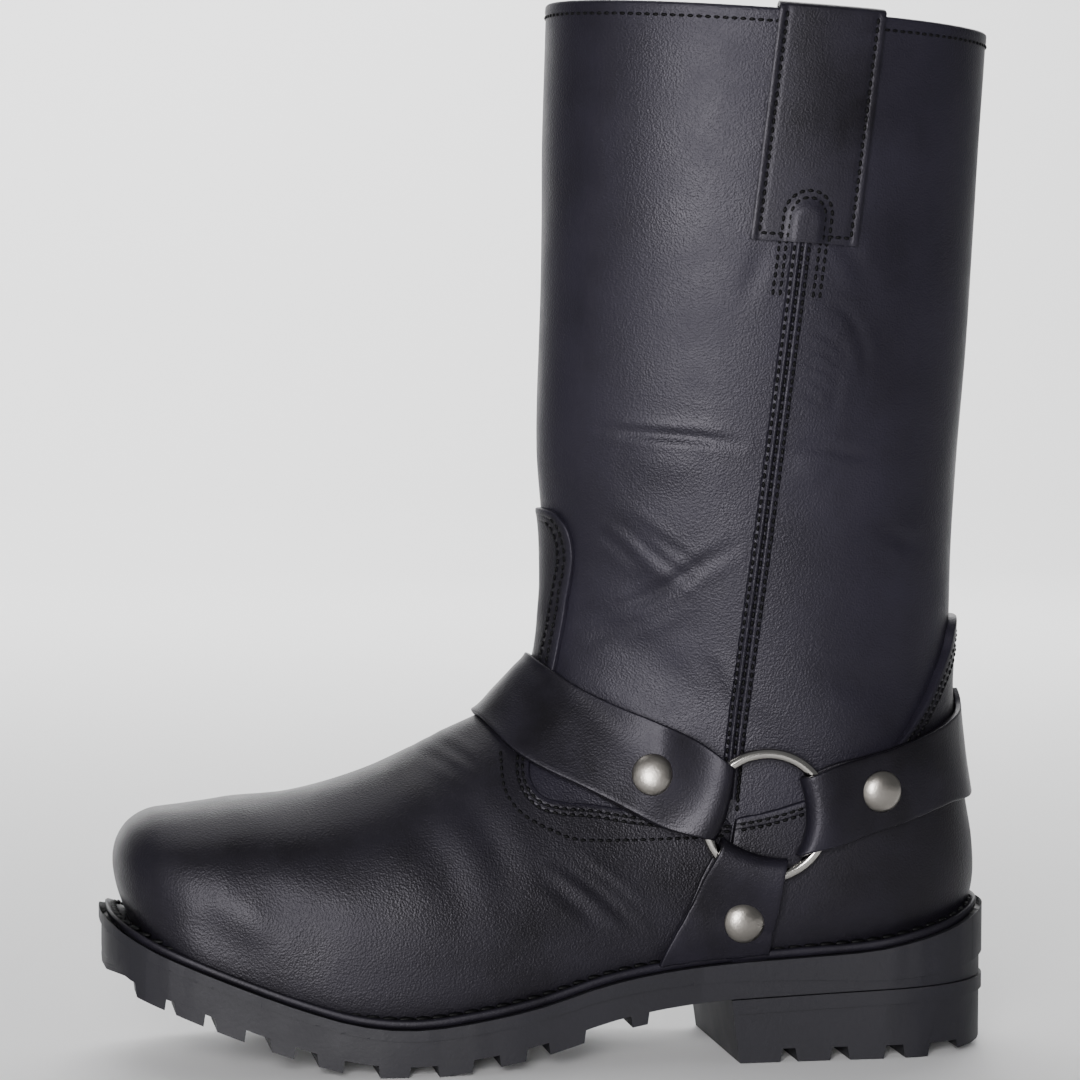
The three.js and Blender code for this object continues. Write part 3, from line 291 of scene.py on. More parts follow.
def offset_line(line, distance):
    """The line moved sideways, to its left where distance is positive."""
    run = np.gradient(line, axis=0)
    run /= np.maximum(np.hypot(run[:, 0], run[:, 1]), 1e-9)[:, None]
    return line + distance * np.stack([-run[:, 1], run[:, 0]], axis=1)


def inside_outline(points, outline):
    """Which points lie inside a closed outline."""
    x, z = points[:, 0][:, None], points[:, 1][:, None]
    a, b = outline, np.roll(outline, -1, axis=0)
    cross = (a[:, 1] > z) != (b[:, 1] > z)
    rise = np.where(a[:, 1] == b[:, 1], 1.0, b[:, 1] - a[:, 1])
    at = a[:, 0] + (z - a[:, 1]) / rise * (b[:, 0] - a[:, 0])
    return (np.count_nonzero(cross & (x < at), axis=1) % 2) == 1


def line_distance(points, line):
    """Distance of each point from a line, and how far along it its nearest place is."""
    best = np.full(len(points), 1e9)
    along = np.zeros(len(points))
    reached = 0.0
    for a, b in zip(line[:-1], line[1:]):
        run = b - a
        length = max(np.hypot(*run), 1e-9)
        t = np.clip(((points - a) @ run) / length ** 2, 0, 1)
        gap = np.hypot(*(points - a - t[:, None] * run).T)
        closer = gap < best
        best = np.where(closer, gap, best)
        along = np.where(closer, reached + t * length, along)
        reached += length
    return best, along


class Form:
    """The lasted boot's surface: v runs in millimetres from the toe's tip up the boot, and u round
    it, from 0 in front to 1 at the back over the outer side and to -1 over the inner side."""

    STEP = 0.5
    AROUND = 129

    def __init__(self, sections):
        rows = np.array(sections, float)
        gap = np.diff(rows[:, :4], axis=0)
        run = (np.hypot(gap[:, 0], gap[:, 1]) + np.hypot(gap[:, 2], gap[:, 3])) / 2
        knots = np.concatenate([[0], np.cumsum(run)])
        self.length = knots[-1]
        self.v = np.arange(0, self.length, self.STEP)
        self.rows = np.stack([hermite(knots, rows[:, k], self.v) for k in range(9)], axis=1)
        angle = np.linspace(0, np.pi, 721)
        front = np.cos(angle) > 0
        place, width = [[], []], [[], []]
        for row in self.rows:
            power = np.where(front, row[7], row[8])
            span = np.where(front, 1 - row[6], -row[6])
            at = row[6] + span * np.abs(np.cos(angle)) ** (2 / power)
            out = np.abs(np.sin(angle)) ** (2 / power)
            reach = np.hypot(row[0] - row[2], row[1] - row[3])
            for k in (0, 1):
                half = max(row[4 + k], 0)
                step = np.hypot(np.diff(at) * reach, np.diff(out) * half) + 1e-9
                arc = np.concatenate([[0], np.cumsum(step)])
                even = np.linspace(0, arc[-1], self.AROUND)
                place[k].append(np.interp(even, arc, at))
                width[k].append(np.interp(even, arc, out) * half)
        self.place, self.width = np.array(place), np.array(width)

    def point(self, v, u):
        """Points of the surface."""
        u = np.where(u > 1, u - 2, np.where(u < -1, u + 2, u))
        side = (u < 0).astype(int)
        row = np.clip(v / self.STEP, 0, len(self.v) - 1.001)
        i = row.astype(int)
        f = row - i
        col = np.clip(np.abs(u) * (self.AROUND - 1), 0, self.AROUND - 1.001)
        j = col.astype(int)
        g = col - j

        def mixed(table):
            low = table[side, i, j] * (1 - g) + table[side, i, j + 1] * g
            high = table[side, i + 1, j] * (1 - g) + table[side, i + 1, j + 1] * g
            return low * (1 - f) + high * f

        place = mixed(self.place)
        ends = self.rows[i, :4] * (1 - f)[:, None] + self.rows[i + 1, :4] * f[:, None]
        x = ends[:, 2] + (ends[:, 0] - ends[:, 2]) * place
        z = ends[:, 3] + (ends[:, 1] - ends[:, 3]) * place
        return np.stack([x, np.where(side == 0, -1, 1) * mixed(self.width), z], axis=1)

    def normal(self, v, u):
        """Outward directions of the surface."""
        dv, du = 1.6, 0.012
        across = self.point(v, u + du) - self.point(v, u - du)
        up = self.point(v + dv, u) - self.point(v - dv, u)
        out = np.cross(across, up)
        size = np.linalg.norm(out, axis=1)
        out /= np.maximum(size, 1e-6)[:, None]
        out[size < 1e-3] = (-1, 0, 0)
        return out

    def locate(self, x, z, side):
        """The v and u of places given in the side view."""
        x, z = np.atleast_1d(np.asarray(x, float)), np.atleast_1d(np.asarray(z, float))
        skip = 4
        rows = self.rows[::skip]
        rx, rz = rows[:, 0] - rows[:, 2], rows[:, 1] - rows[:, 3]
        over = rx[:, None] * (z - rows[:, 3][:, None]) - rz[:, None] * (x - rows[:, 2][:, None])
        ahead = over[1:] >= 0
        i = np.where(ahead.any(axis=0), ahead.argmax(axis=0), len(rows) - 2)
        a, b = over[i, np.arange(len(x))], over[i + 1, np.arange(len(x))]
        t = np.clip(a / np.where(a == b, 1, a - b), 0, 1)
        v = np.minimum((i + t) * skip * self.STEP, self.v[-1])
        row = np.minimum((v / self.STEP).astype(int), len(self.v) - 1)
        ends = self.rows[row]
        rx, rz = ends[:, 0] - ends[:, 2], ends[:, 1] - ends[:, 3]
        place = ((x - ends[:, 2]) * rx + (z - ends[:, 3]) * rz) / np.maximum(rx ** 2 + rz ** 2, 1e-9)
        even = np.linspace(0, 1, self.AROUND)[::-1]
        k = 0 if side == OUTER else 1
        u = [np.interp(p, self.place[k, r][::-1], even) for p, r in zip(place, row)]
        return v, side * np.array(u)

    def on(self, line, side, depth=0.0):
        """Points and outward directions along a line given in the side view."""
        v, u = self.locate(line[:, 0], line[:, 1], side)
        out = self.normal(v, u)
        return self.point(v, u) + out * depth, out


def bridged(sections):
    """The sections with the hollow of the instep bridged by a straight strap."""
    low, high = np.array(INSTEP_CHORD)
    chord = high - low
    made = []
    for row in sections:
        front, back = np.array(row[:2]), np.array(row[2:4])
        reach = front - back
        across = reach[0] * chord[1] - reach[1] * chord[0]
        if abs(across) > 1e-6:
            rest = low - back
            share = (rest[0] * chord[1] - rest[1] * chord[0]) / across
            spot = back + reach * share
            on_chord = (spot - low) @ chord / (chord @ chord)
            if share > 1 and 0 <= on_chord <= 1:
                row = (*spot, *row[2:])
        made.append(row)
    return made


FORM = Form(SECTIONS)
BRIDGED_FORM = Form(bridged(SECTIONS))


def grid_mesh(columns, rows):
    """A flat grid, and its vertices' places across and up it as shares."""
    bm = bmesh.new()
    bmesh.ops.create_grid(bm, x_segments=columns, y_segments=rows, size=0.5)
    return bm, np.array([vert.co[:2] for vert in bm.verts]) + 0.5


def grid_rows(places, rows):
    """How far across the grid each vertex lies, from -1 to 1, and the row it is in."""
    return places[:, 0] * 2 - 1, np.round(places[:, 1] * rows).astype(int)


def close_seams(bm, distance=1e-6):
    """Merges the vertices that meet and turns every face outwards."""
    bmesh.ops.remove_doubles(bm, verts=bm.verts, dist=distance)
    bmesh.ops.recalc_face_normals(bm, faces=bm.faces)


def spin_profile(bm, geom, centre, axis, steps):
    """Turns a profile once round an axis and closes it."""
    bmesh.ops.spin(
        bm, geom=geom, cent=centre, axis=axis, angle=2 * math.pi, steps=steps, use_merge=True
    )
    close_seams(bm)


def set_points(bm, points):
    for vert, point in zip(bm.verts, points):
        vert.co = Vector(point) * MM


def trim(bm, places, keep):
    """Cuts a grid along an outline: vertices next to it move onto it, and those outside go.
    Returns the moved places and which of the first vertices lie on the outline."""
    home = bm.verts.layers.int["home"]
    inside = keep(places)
    pairs = np.array([[vert[home] for vert in edge.verts] for edge in bm.edges])
    cut = pairs[inside[pairs[:, 0]] != inside[pairs[:, 1]]]
    flip = ~inside[cut[:, 0]]
    cut[flip] = cut[flip][:, ::-1]
    low, high = np.zeros(len(cut)), np.ones(len(cut))
    a, b = places[cut[:, 0]], places[cut[:, 1]]
    for _ in range(9):
        mid = (low + high) / 2
        kept = keep(a + (b - a) * mid[:, None])
        low, high = np.where(kept, mid, low), np.where(kept, high, mid)
    at = (low + high) / 2
    moved, on = places.copy(), np.zeros(len(places), bool)
    for k in np.argsort(np.minimum(at, 1 - at)):
        i, j = cut[k]
        if not (on[i] or on[j]):
            pick = i if at[k] < 0.5 else j
            moved[pick] = a[k] + (b[k] - a[k]) * at[k]
            on[pick] = True
    outside = ~inside & ~on
    bmesh.ops.connect_verts(bm, verts=[vert for vert in bm.verts if on[vert[home]]])
    bmesh.ops.delete(bm, geom=[v for v in bm.verts if outside[v[home]]], context="VERTS")
    rim_faces = [f for f in bm.faces if all(on[v[home]] for v in f.verts)]
    if rim_faces:
        middles = np.array([np.mean([moved[v[home]] for v in f.verts], axis=0) for f in rim_faces])
        out = [f for f, kept in zip(rim_faces, keep(middles)) if not kept]
        bmesh.ops.delete(bm, geom=out, context="FACES")
    return moved, on


def turn_rim(bm, steps):
    """Turns a sheet's open edge down in rounded steps of (outwards, down)."""
    home = bm.verts.layers.int["home"]
    bm.normal_update()
    edges = [edge for edge in bm.edges if edge.is_boundary]
    out, down, base = {}, {}, {}
    for edge in edges:
        face = edge.link_faces[0]
        middle = (edge.verts[0].co + edge.verts[1].co) / 2
        aside = (edge.verts[1].co - edge.verts[0].co).cross(face.normal).normalized()
        if aside.dot(face.calc_center_median() - middle) > 0:
            aside = -aside
        for vert in edge.verts:
            key = vert[home]
            out[key] = out.get(key, Vector()) + aside
            down[key] = down.get(key, Vector()) + face.normal
            base[key] = vert.co.copy()
    for table in (out, down):
        for key in table:
            table[key].normalize()
    for outwards, drop in steps:
        made = bmesh.ops.extrude_edge_only(bm, edges=edges)["geom"]
        edges = [g for g in made if isinstance(g, bmesh.types.BMEdge) and g.is_boundary]
        for vert in (g for g in made if isinstance(g, bmesh.types.BMVert)):
            key = vert[home]
            vert.co = base[key] + out[key] * outwards * MM - down[key] * drop * MM


def edge_layer(bm, name, values):
    """Stores a value at each vertex by its first place in the grid, for a material to read."""
    layer = bm.verts.layers.float.new(name)
    home = bm.verts.layers.int["home"]
    for vert in bm.verts:
        vert[layer] = float(values[vert[home]])


def finish_piece(bm, name, material, body, nodes=(), sharp=None):
    """Makes the mesh an object at the origin, dressed, tied to its body, and hides the CAD nodes it stands
    for.
    """
    mesh = bpy.data.meshes.new(name)
    for face in bm.faces:
        face.smooth = True
    bm.to_mesh(mesh)
    bm.free()
    if sharp is not None:
        mesh.set_sharp_from_angle(angle=math.radians(sharp))
    if not len(mesh.polygons):
        raise RuntimeError(f"{name} has no faces")
    mesh.materials.append(material)
    piece = bpy.data.objects.new(name, mesh)
    bpy.context.scene.collection.objects.link(piece)
    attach(piece, body)
    if nodes:
        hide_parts(*nodes)
    return piece


def lay_beads(bm, points, normals, pitch, size, tilt=0.0):
    """Lays beads of (length, width, height) along a line of surface points."""
    run = np.concatenate([[0], np.cumsum(np.linalg.norm(np.diff(points, axis=0), axis=1))])
    count = max(int(round(run[-1] / pitch)), 1)
    places = (np.arange(count) + 0.5) * run[-1] / count
    half = size[0] / 2
    spots = [np.stack([np.interp(p, run, points[:, k]) for k in range(3)], axis=1)
             for p in (places - half, places, places + half)]
    outs = np.stack([np.interp(places, run, normals[:, k]) for k in range(3)], axis=1)
    row = bmesh.new()
    for before, spot, after, out in zip(*spots, outs):
        normal = Vector(out).normalized()
        run_way = Vector(after - before).normalized()
        run_way = (run_way - normal * run_way.dot(normal)).normalized()
        if tilt:
            run_way = Matrix.Rotation(tilt, 3, normal) @ run_way
        aside = normal.cross(run_way)
        axes = (aside * size[1] / 2, normal * size[2] / 2, run_way * half)
        turn = Matrix([axis * MM for axis in axes]).transposed().to_4x4()
        matrix = Matrix.Translation(Vector(spot) * MM) @ turn
        bmesh.ops.create_uvsphere(row, u_segments=6, v_segments=4, radius=1, matrix=matrix)
    join(bm, row)


def join(bm, other):
    """Adds another mesh to this one."""
    mesh = bpy.data.meshes.new("joined")
    other.to_mesh(mesh)
    other.free()
    bm.from_mesh(mesh)
    bpy.data.meshes.remove(mesh)


def lay_stitches(bm, points, normals, stitch):
    """Lays a row of lockstitches, each a short fat bead of thread."""
    lay_beads(bm, points, normals, STITCH_PITCH, (stitch, 1.3, 0.9))


def add_node(tree, kind, inputs=None, **settings):
    node = tree.nodes.new(kind)
    for key, value in settings.items():
        setattr(node, key, value)
    for key, value in (inputs or {}).items():
        if isinstance(value, bpy.types.NodeSocket):
            tree.links.new(value, node.inputs[key])
        else:
            node.inputs[key].default_value = value
    return node


def add_math(tree, operation, *values, clamp=False):
    """A sum of sockets or numbers, as its output socket."""
    inputs = dict(enumerate(values))
    return add_node(tree, "ShaderNodeMath", inputs, operation=operation, use_clamp=clamp).outputs[0]


def add_range(tree, value, low, high, to_low=0.0, to_high=1.0):
    """A value moved from one range into another, as its output socket."""
    inputs = {"Value": value, "From Min": low, "From Max": high, "To Min": to_low, "To Max": to_high}
    return add_node(tree, "ShaderNodeMapRange", inputs).outputs["Result"]


def new_group(name, inputs, outputs):
    """A shader node group with float and colour sockets, and its input and output nodes."""
    group = bpy.data.node_groups.new(name, "ShaderNodeTree")
    for socket, value in inputs.items():
        kind = "NodeSocketColor" if isinstance(value, tuple) else "NodeSocketFloat"
        made = group.interface.new_socket(socket, in_out="INPUT", socket_type=kind)
        made.default_value = value
    for socket, kind in outputs.items():
        group.interface.new_socket(socket, in_out="OUTPUT", socket_type=kind)
    return group, group.nodes.new("NodeGroupInput"), group.nodes.new("NodeGroupOutput")


def grain_group():
    """Leather grain: fine pebble and slow patches, from Object coordinates."""
    found = bpy.data.node_groups.get("leather_grain")
    if found:
        return found
    group, given, result = new_group(
        "leather_grain",
        {"Pebble per metre": 900.0, "Pebble depth": 0.5, "Patch per metre": 22.0},
        {"Height": "NodeSocketFloat", "Patch": "NodeSocketFloat"},
    )
    place = add_node(group, "ShaderNodeTexCoord").outputs["Object"]
    close = {"Vector": place, "Scale": given.outputs["Pebble per metre"]}
    wide = {"Vector": place, "Scale": given.outputs["Patch per metre"], "Detail": 4.0, "Roughness": 0.6}
    pebble = add_node(group, "ShaderNodeTexVoronoi", close, feature="SMOOTH_F1")
    fine = add_node(group, "ShaderNodeTexNoise", {**close, "Detail": 3.0})
    patch = add_node(group, "ShaderNodeTexNoise", wide)
    both = add_math(group, "ADD", pebble.outputs["Distance"], fine.outputs["Fac"])
    deep = add_math(group, "MULTIPLY", both, given.outputs["Pebble depth"])
    group.links.new(deep, result.inputs["Height"])
    group.links.new(patch.outputs["Fac"], result.inputs["Patch"])
    return group


def groove_group():
    """Mask of the channels that rows of stitches pull in beside a cut edge."""
    found = bpy.data.node_groups.get("stitch_channel")
    if found:
        return found
    group, given, result = new_group(
        "stitch_channel",
        {"Edge distance": 10.0, "First row": 1.9, "Second row": 3.7, "Half width": 0.6},
        {"Channel": "NodeSocketFloat"},
    )
    masks = []
    for row in ("First row", "Second row"):
        gap = add_math(group, "SUBTRACT", given.outputs["Edge distance"], given.outputs[row])
        share = add_math(group, "DIVIDE", add_math(group, "ABSOLUTE", gap), given.outputs["Half width"])
        falling = {"Value": share, "From Min": 1.0, "From Max": 0.0}
        mask = add_node(group, "ShaderNodeMapRange", falling, interpolation_type="SMOOTHSTEP")
        masks.append(mask.outputs["Result"])
    group.links.new(add_math(group, "MAXIMUM", *masks), result.inputs["Channel"])
    return group


def new_material(name):
    """A new material with its node tree and shader."""
    material = bpy.data.materials.new(name)
    material.use_nodes = True
    tree = material.node_tree
    return material, tree, tree.nodes["Principled BSDF"]


def leather_material(name, colour, worn, roughness, pebble, bump, edged=True):
    """Black leather: pebble bump, patchy roughness and tone; where edged, paler towards a cut edge (partly
    wear, partly a painted highlight) and darkened in the stitch channels as painted shade.
    """
    found = bpy.data.materials.get(name)
    if found:
        return found
    material, tree, shader = new_material(name)
    grain = add_node(tree, "ShaderNodeGroup", node_tree=grain_group())
    grain.inputs["Pebble per metre"].default_value = pebble[0]
    grain.inputs["Pebble depth"].default_value = pebble[1]
    patch, height = grain.outputs["Patch"], grain.outputs["Height"]
    tone = add_range(tree, patch, 0.35, 0.75)
    paint = add_node(tree, "ShaderNodeMix", data_type="RGBA")
    paint.inputs["A"].default_value = (*colour, 1)
    paint.inputs["B"].default_value = (*worn, 1)
    finish = paint.outputs["Result"]
    if edged:
        near = add_node(tree, "ShaderNodeAttribute", attribute_name="edge_mm").outputs["Fac"]
        # Paler towards the cut edge: partly wear, partly a painted highlight along the turned edge.
        edge = add_range(tree, near, 0.0, 1.6, 0.55, 0.0)
        tone = add_math(tree, "ADD", add_math(tree, "MULTIPLY", tone, 0.6), edge, clamp=True)
        groove = add_node(tree, "ShaderNodeGroup", {"Edge distance": near}, node_tree=groove_group())
        channel = groove.outputs["Channel"]
        height = add_math(tree, "MULTIPLY_ADD", channel, -1.6, height)
        # Painted shade: the colour sinks to near black in the stitch channels, where the grooves hold
        # shade.
        painted_channel_shade = add_node(tree, "ShaderNodeMix", data_type="RGBA")
        painted_channel_shade.inputs["B"].default_value = (0.002, 0.002, 0.003, 1)
        tree.links.new(finish, painted_channel_shade.inputs["A"])
        tree.links.new(add_math(tree, "MULTIPLY", channel, 0.35), painted_channel_shade.inputs["Factor"])
        finish = painted_channel_shade.outputs["Result"]
    tree.links.new(tone, paint.inputs["Factor"])
    tree.links.new(finish, shader.inputs["Base Color"])
    rough = add_range(tree, patch, 0.3, 0.7, roughness - 0.08, roughness + 0.1)
    tree.links.new(rough, shader.inputs["Roughness"])
    bumped = add_node(tree, "ShaderNodeBump", {"Height": height, "Strength": bump, "Distance": 0.0004})
    tree.links.new(bumped.outputs["Normal"], shader.inputs["Normal"])
    shader.inputs["Specular IOR Level"].default_value = 0.21
    shader.inputs["Specular Tint"].default_value = (0.94, 0.91, 1.0, 1)
    return material


def plain_material(
    name, colour, roughness, noise, bump, metallic=0.0, spread=0.06, lighter=1.35, gloss=0.5
):
    """A mottled finish with a fine bump, for rubber, thread and metal."""
    found = bpy.data.materials.get(name)
    if found:
        return found
    material, tree, shader = new_material(name)
    place = add_node(tree, "ShaderNodeTexCoord").outputs["Object"]
    cloud = add_node(tree, "ShaderNodeTexNoise", {"Vector": place, "Scale": noise, "Detail": 4.0})
    slow = add_node(tree, "ShaderNodeTexNoise", {"Vector": place, "Scale": noise / 14, "Detail": 3.0})
    paint = add_node(tree, "ShaderNodeMix", {"Factor": slow.outputs["Fac"]}, data_type="RGBA")
    paint.inputs["A"].default_value = (*colour, 1)
    paint.inputs["B"].default_value = (*[min(c * lighter, 1) for c in colour], 1)
    tree.links.new(paint.outputs["Result"], shader.inputs["Base Color"])
    smoothest = max(roughness - spread, 0.02)
    rough = add_range(tree, slow.outputs["Fac"], 0.3, 0.7, smoothest, roughness + spread)
    tree.links.new(rough, shader.inputs["Roughness"])
    fine = {"Height": cloud.outputs["Fac"], "Strength": bump, "Distance": 0.0003}
    bumped = add_node(tree, "ShaderNodeBump", fine)
    tree.links.new(bumped.outputs["Normal"], shader.inputs["Normal"])
    shader.inputs["Metallic"].default_value = metallic
    shader.inputs["Specular IOR Level"].default_value = gloss
    return material


def colour_property(name, description, default):
    return FloatVectorProperty(
        name=name, description=description, subtype="COLOR", size=3, min=0, max=1, default=default
    )


class BootFinish(bpy.types.PropertyGroup):
    """Colours and sizes of the boot's dressing."""

    leather: colour_property("Leather", "Colour of the upper's leather", (0.0034, 0.0030, 0.0040))
    # The worn colour is also the pale end of the painted highlight along the panels' cut edges.
    worn: colour_property("Worn leather", "Colour where the leather is rubbed", (0.0105, 0.0094, 0.0150))
    lining: colour_property("Lining", "Colour of the lining leather", (0.030, 0.028, 0.028))
    thread: colour_property("Thread", "Colour of the stitching", (0.0008, 0.0008, 0.0010))
    rubber: colour_property("Rubber", "Colour of the sole", (0.0058, 0.0055, 0.0080))
    nickel: colour_property("Nickel", "Colour of the rings' plating", (0.42, 0.405, 0.38))
    antique: colour_property("Antique nickel", "Colour of the rivets", (0.24, 0.225, 0.205))
    stitch: FloatProperty(
        name="Stitch length", description="Length of one stitch", subtype="DISTANCE",
        unit="LENGTH", default=0.0022, min=0.0005, max=0.01,
    )
    crease: FloatProperty(
        name="Crease depth", description="How deep the leather's creases are, as a share",
        subtype="FACTOR", default=1.0, min=0, max=2,
    )


def upper_leather(props):
    return leather_material("smooth_black_leather", props.leather, props.worn, 0.42, (1550.0, 0.95), 0.31)


def strap_leather(props):
    pebble = (1550.0, 0.8)
    return leather_material("harness_leather", props.leather, props.worn, 0.39, pebble, 0.23, edged=False)


def lining_leather(name, props, shade, worn, roughness, pebble):
    colour, rubbed = [c * shade for c in props.lining], [c * worn for c in props.lining]
    return leather_material(name, colour, rubbed, roughness, pebble, 0.2, edged=False)


def welt_leather(props):
    colour = [c * 0.8 for c in props.leather]
    return leather_material("welt_leather", colour, props.worn, 0.5, (1100.0, 0.6), 0.2, edged=False)


def thread_material(props):
    return plain_material("waxed_thread", props.thread, 0.6, 2500.0, 0.4, gloss=0.12)


def rubber_material(props):
    return plain_material("moulded_rubber", props.rubber, 0.6, 700.0, 0.25, gloss=0.3)


def nickel_material(props):
    return plain_material("polished_nickel", props.nickel, 0.16, 400.0, 0.05, 1.0, 0.06, 1.1)


def antique_material(props):
    return plain_material("antique_nickel", props.antique, 0.34, 900.0, 0.25, 1.0, 0.08, 1.25)


def relief(points, creases, share):
    """Depth of the creases at each point, negative inwards."""
    side_view = points[:, [0, 2]]
    total = np.zeros(len(points))
    for line, half, depth in creases:
        path = smooth_line(line, 2.0)
        low, high = path.min(axis=0) - 4 * half, path.max(axis=0) + 4 * half
        near = np.all((side_view > low) & (side_view < high), axis=1)
        if not near.any():
            continue
        gap, along = line_distance(side_view[near], path)
        length = np.sum(np.hypot(*np.diff(path, axis=0).T))
        fade = np.sin(np.pi * np.clip(along / length, 0.04, 0.96)) ** 0.7
        trough = np.exp(-(gap / half) ** 2) - 0.45 * np.exp(-((gap - 1.9 * half) / half) ** 2)
        total[near] -= depth * share * fade * trough
    return total


def collar_line(turn, below=0.0):
    """How far up the boot the collar's edge, or a line below it, lies at each place round it."""
    heights = np.arange(FORM.length - COLLAR_BAND, FORM.length - 1, 0.5)
    tops = []
    for column in turn:
        line = FORM.point(heights, np.full(len(heights), column))
        tops.append(np.interp(-below, line[:, 2] - collar_height(line[:, 0]), heights))
    return np.array(tops)


def build_shaft(props):
    """The upper's outer leather from under the vamp to the rolled collar, then the lining."""
    low = FORM.locate(-34, 100, OUTER)[0][0]
    columns, rows, roll, turned = 240, 210, 6, 5
    bm, places = grid_mesh(columns, rows + roll + turned)
    u, row = grid_rows(places, rows + roll + turned)
    turn = np.linspace(-1, 1, columns + 1)
    tops = collar_line(turn)
    top = np.interp(u, turn, tops)
    v = low + (top - low) * np.minimum(row / rows, 1)
    points, normals = FORM.point(v, u), FORM.normal(v, u)
    up = FORM.point(v + 1, u) - FORM.point(v - 1, u)
    up /= np.linalg.norm(up, axis=1)[:, None]
    angle = np.clip((row - rows) / roll, 0, 1) * np.pi
    radius = WALL / 2
    bulge = 0.35 * np.exp(-((collar_height(points[:, 0]) - points[:, 2] - 1.0) / 1.2) ** 2)
    depth = relief(points, CREASES, props.crease) + bulge
    lift = np.where(row <= rows, depth, bulge * np.cos(angle)) + radius * (np.cos(angle) - 1)
    points += normals * lift[:, None]
    points += up * (radius * np.sin(angle) - np.maximum(row - rows - roll, 0) * 1.6)[:, None]
    set_points(bm, points)
    close_seams(bm)
    finish_piece(bm, "upper_shaft", upper_leather(props), "boot", ["upper"])
    build_lining(props, turn, tops)


def build_lining(props, turn, tops):
    """The lining from the toe up to just under the collar's roll, facing inwards."""
    bm, places = grid_mesh(96, 120)
    u = places[:, 0] * 2 - 1
    low, under_roll = 12, 4
    v = low + (np.interp(u, turn, tops) - under_roll - low) * places[:, 1]
    points = FORM.point(v, u) - FORM.normal(v, u) * (WALL - 0.05)
    points[:, 2] = np.maximum(points[:, 2], sole_top(points[:, 0]) + 3.2)
    set_points(bm, points)
    bmesh.ops.remove_doubles(bm, verts=bm.verts, dist=1e-6)
    bmesh.ops.reverse_faces(bm, faces=bm.faces)
    lining = lining_leather("lining_leather", props, 1.0, 1.4, 0.7, (700.0, 0.5))
    finish_piece(bm, "upper_lining", lining, "boot", ["upper"])


def build_panel(node, outline, visible, spans, cells, depth, creases, props):
    """A leather overlay cut to an outline in the side view, with a turned edge."""
    (v0, v1), (u0, u1) = spans
    bm, places = grid_mesh(*cells)
    places = np.stack([v0 + (v1 - v0) * places[:, 1], u0 + (u1 - u0) * places[:, 0]], axis=1)
    home = bm.verts.layers.int.new("home")
    for index, vert in enumerate(bm.verts):
        vert[home] = index
    tip = [vert for vert in bm.verts if places[vert[home], 0] <= 0]
    if tip:
        bmesh.ops.pointmerge(bm, verts=tip, merge_co=tip[0].co)

    def keep(spots):
        points = FORM.point(spots[:, 0], spots[:, 1])[:, [0, 2]]
        return inside_outline(points, outline) & (points[:, 1] > sole_top(points[:, 0]) + 0.8)

    places, _ = trim(bm, places, keep)
    points = FORM.point(places[:, 0], places[:, 1])
    lift = depth + relief(points, creases, props.crease)
    gap, _ = line_distance(points[:, [0, 2]], visible)
    lift += 0.25 * np.exp(-((gap - 1.0) / 1.2) ** 2)
    made = points + FORM.normal(places[:, 0], places[:, 1]) * lift[:, None]
    for vert in bm.verts:
        vert.co = Vector(made[vert[home]]) * MM
    close_seams(bm, 1e-5)
    turn_rim(bm, ((0.22, 0.1), (0.42, 0.45), (0.45, depth + 0.3)))
    edge_layer(bm, "edge_mm", gap)
    finish_piece(bm, f"{node}_leather", upper_leather(props), "boot", [node])


def build_vamp(props):
    edge = smooth_line(VAMP_EDGE)
    outline = np.concatenate([[(-220, 189)], edge, [(VAMP_FOOT, 0), (-220, 0)]])
    top = FORM.locate(-1.3, 196, OUTER)[0][0]
    spans, cells = ((0, top), (-1, 1)), (150, 190)
    build_panel("vamp", outline, edge, spans, cells, VAMP_OUT, VAMP_CREASES, props)


def build_counter(props):
    edge = smooth_line(COUNTER_EDGE)
    outline = np.concatenate([[(VAMP_FOOT + 0.6, 0)], edge, [(220, 158), (220, 0)]])
    low = FORM.locate(30, 40, OUTER)[0][0]
    top = FORM.locate(150, 165, OUTER)[0][0]
    spans, cells = ((low, top), (0.3, 1.7)), (120, 130)
    build_panel("counter", outline, edge, spans, cells, COUNTER_OUT, (), props)


def build_seam(props, name, side):
    """The raised side seam: a lap with a high ridge ahead, a groove and a low ridge behind."""
    bm, places = grid_mesh(24, 130)
    top, foot = np.array(SEAM_TOP), np.array(SEAM_FOOT)
    centre = foot + (top - foot) * places[:, 1][:, None]
    across = (places[:, 0] * 2 - 1) * SEAM_HALF
    v, u = FORM.locate(centre[:, 0] + across, centre[:, 1], side)
    ridge = 0.75 * np.exp(-((across + 1.2) / 0.75) ** 2) - 0.5 * np.exp(-((across - 0.1) / 0.5) ** 2)
    ridge += 0.35 * np.exp(-((across - 1.3) / 0.7) ** 2)
    edge = np.clip((SEAM_HALF - np.abs(across)) / 0.5, 0, 1) ** 0.5
    lift = (SEAM_OUT + ridge) * edge - 0.1
    points = FORM.point(v, u) + FORM.normal(v, u) * lift[:, None]
    set_points(bm, points)
    if side == INNER:
        bmesh.ops.reverse_faces(bm, faces=bm.faces)
    node = f"seam_{name}"
    finish_piece(bm, f"side_{node}", upper_leather(props), "boot", [node])


def ring_plane(side, height):
    return -side * (RING_PLANE[side] + height)


def neck_share(run):
    """How far a strap is drawn in by its ring, from 1 at the fold to 0 where the neck ends."""
    return 1 - smoothstep(run, FOLD_CENTRE - 3, NECK_END)


def strap_heading(loop):
    """The way a strap leaves its ring, in the side view."""
    angle = math.radians(HEADINGS[loop])
    return np.array([math.cos(angle), math.sin(angle)])


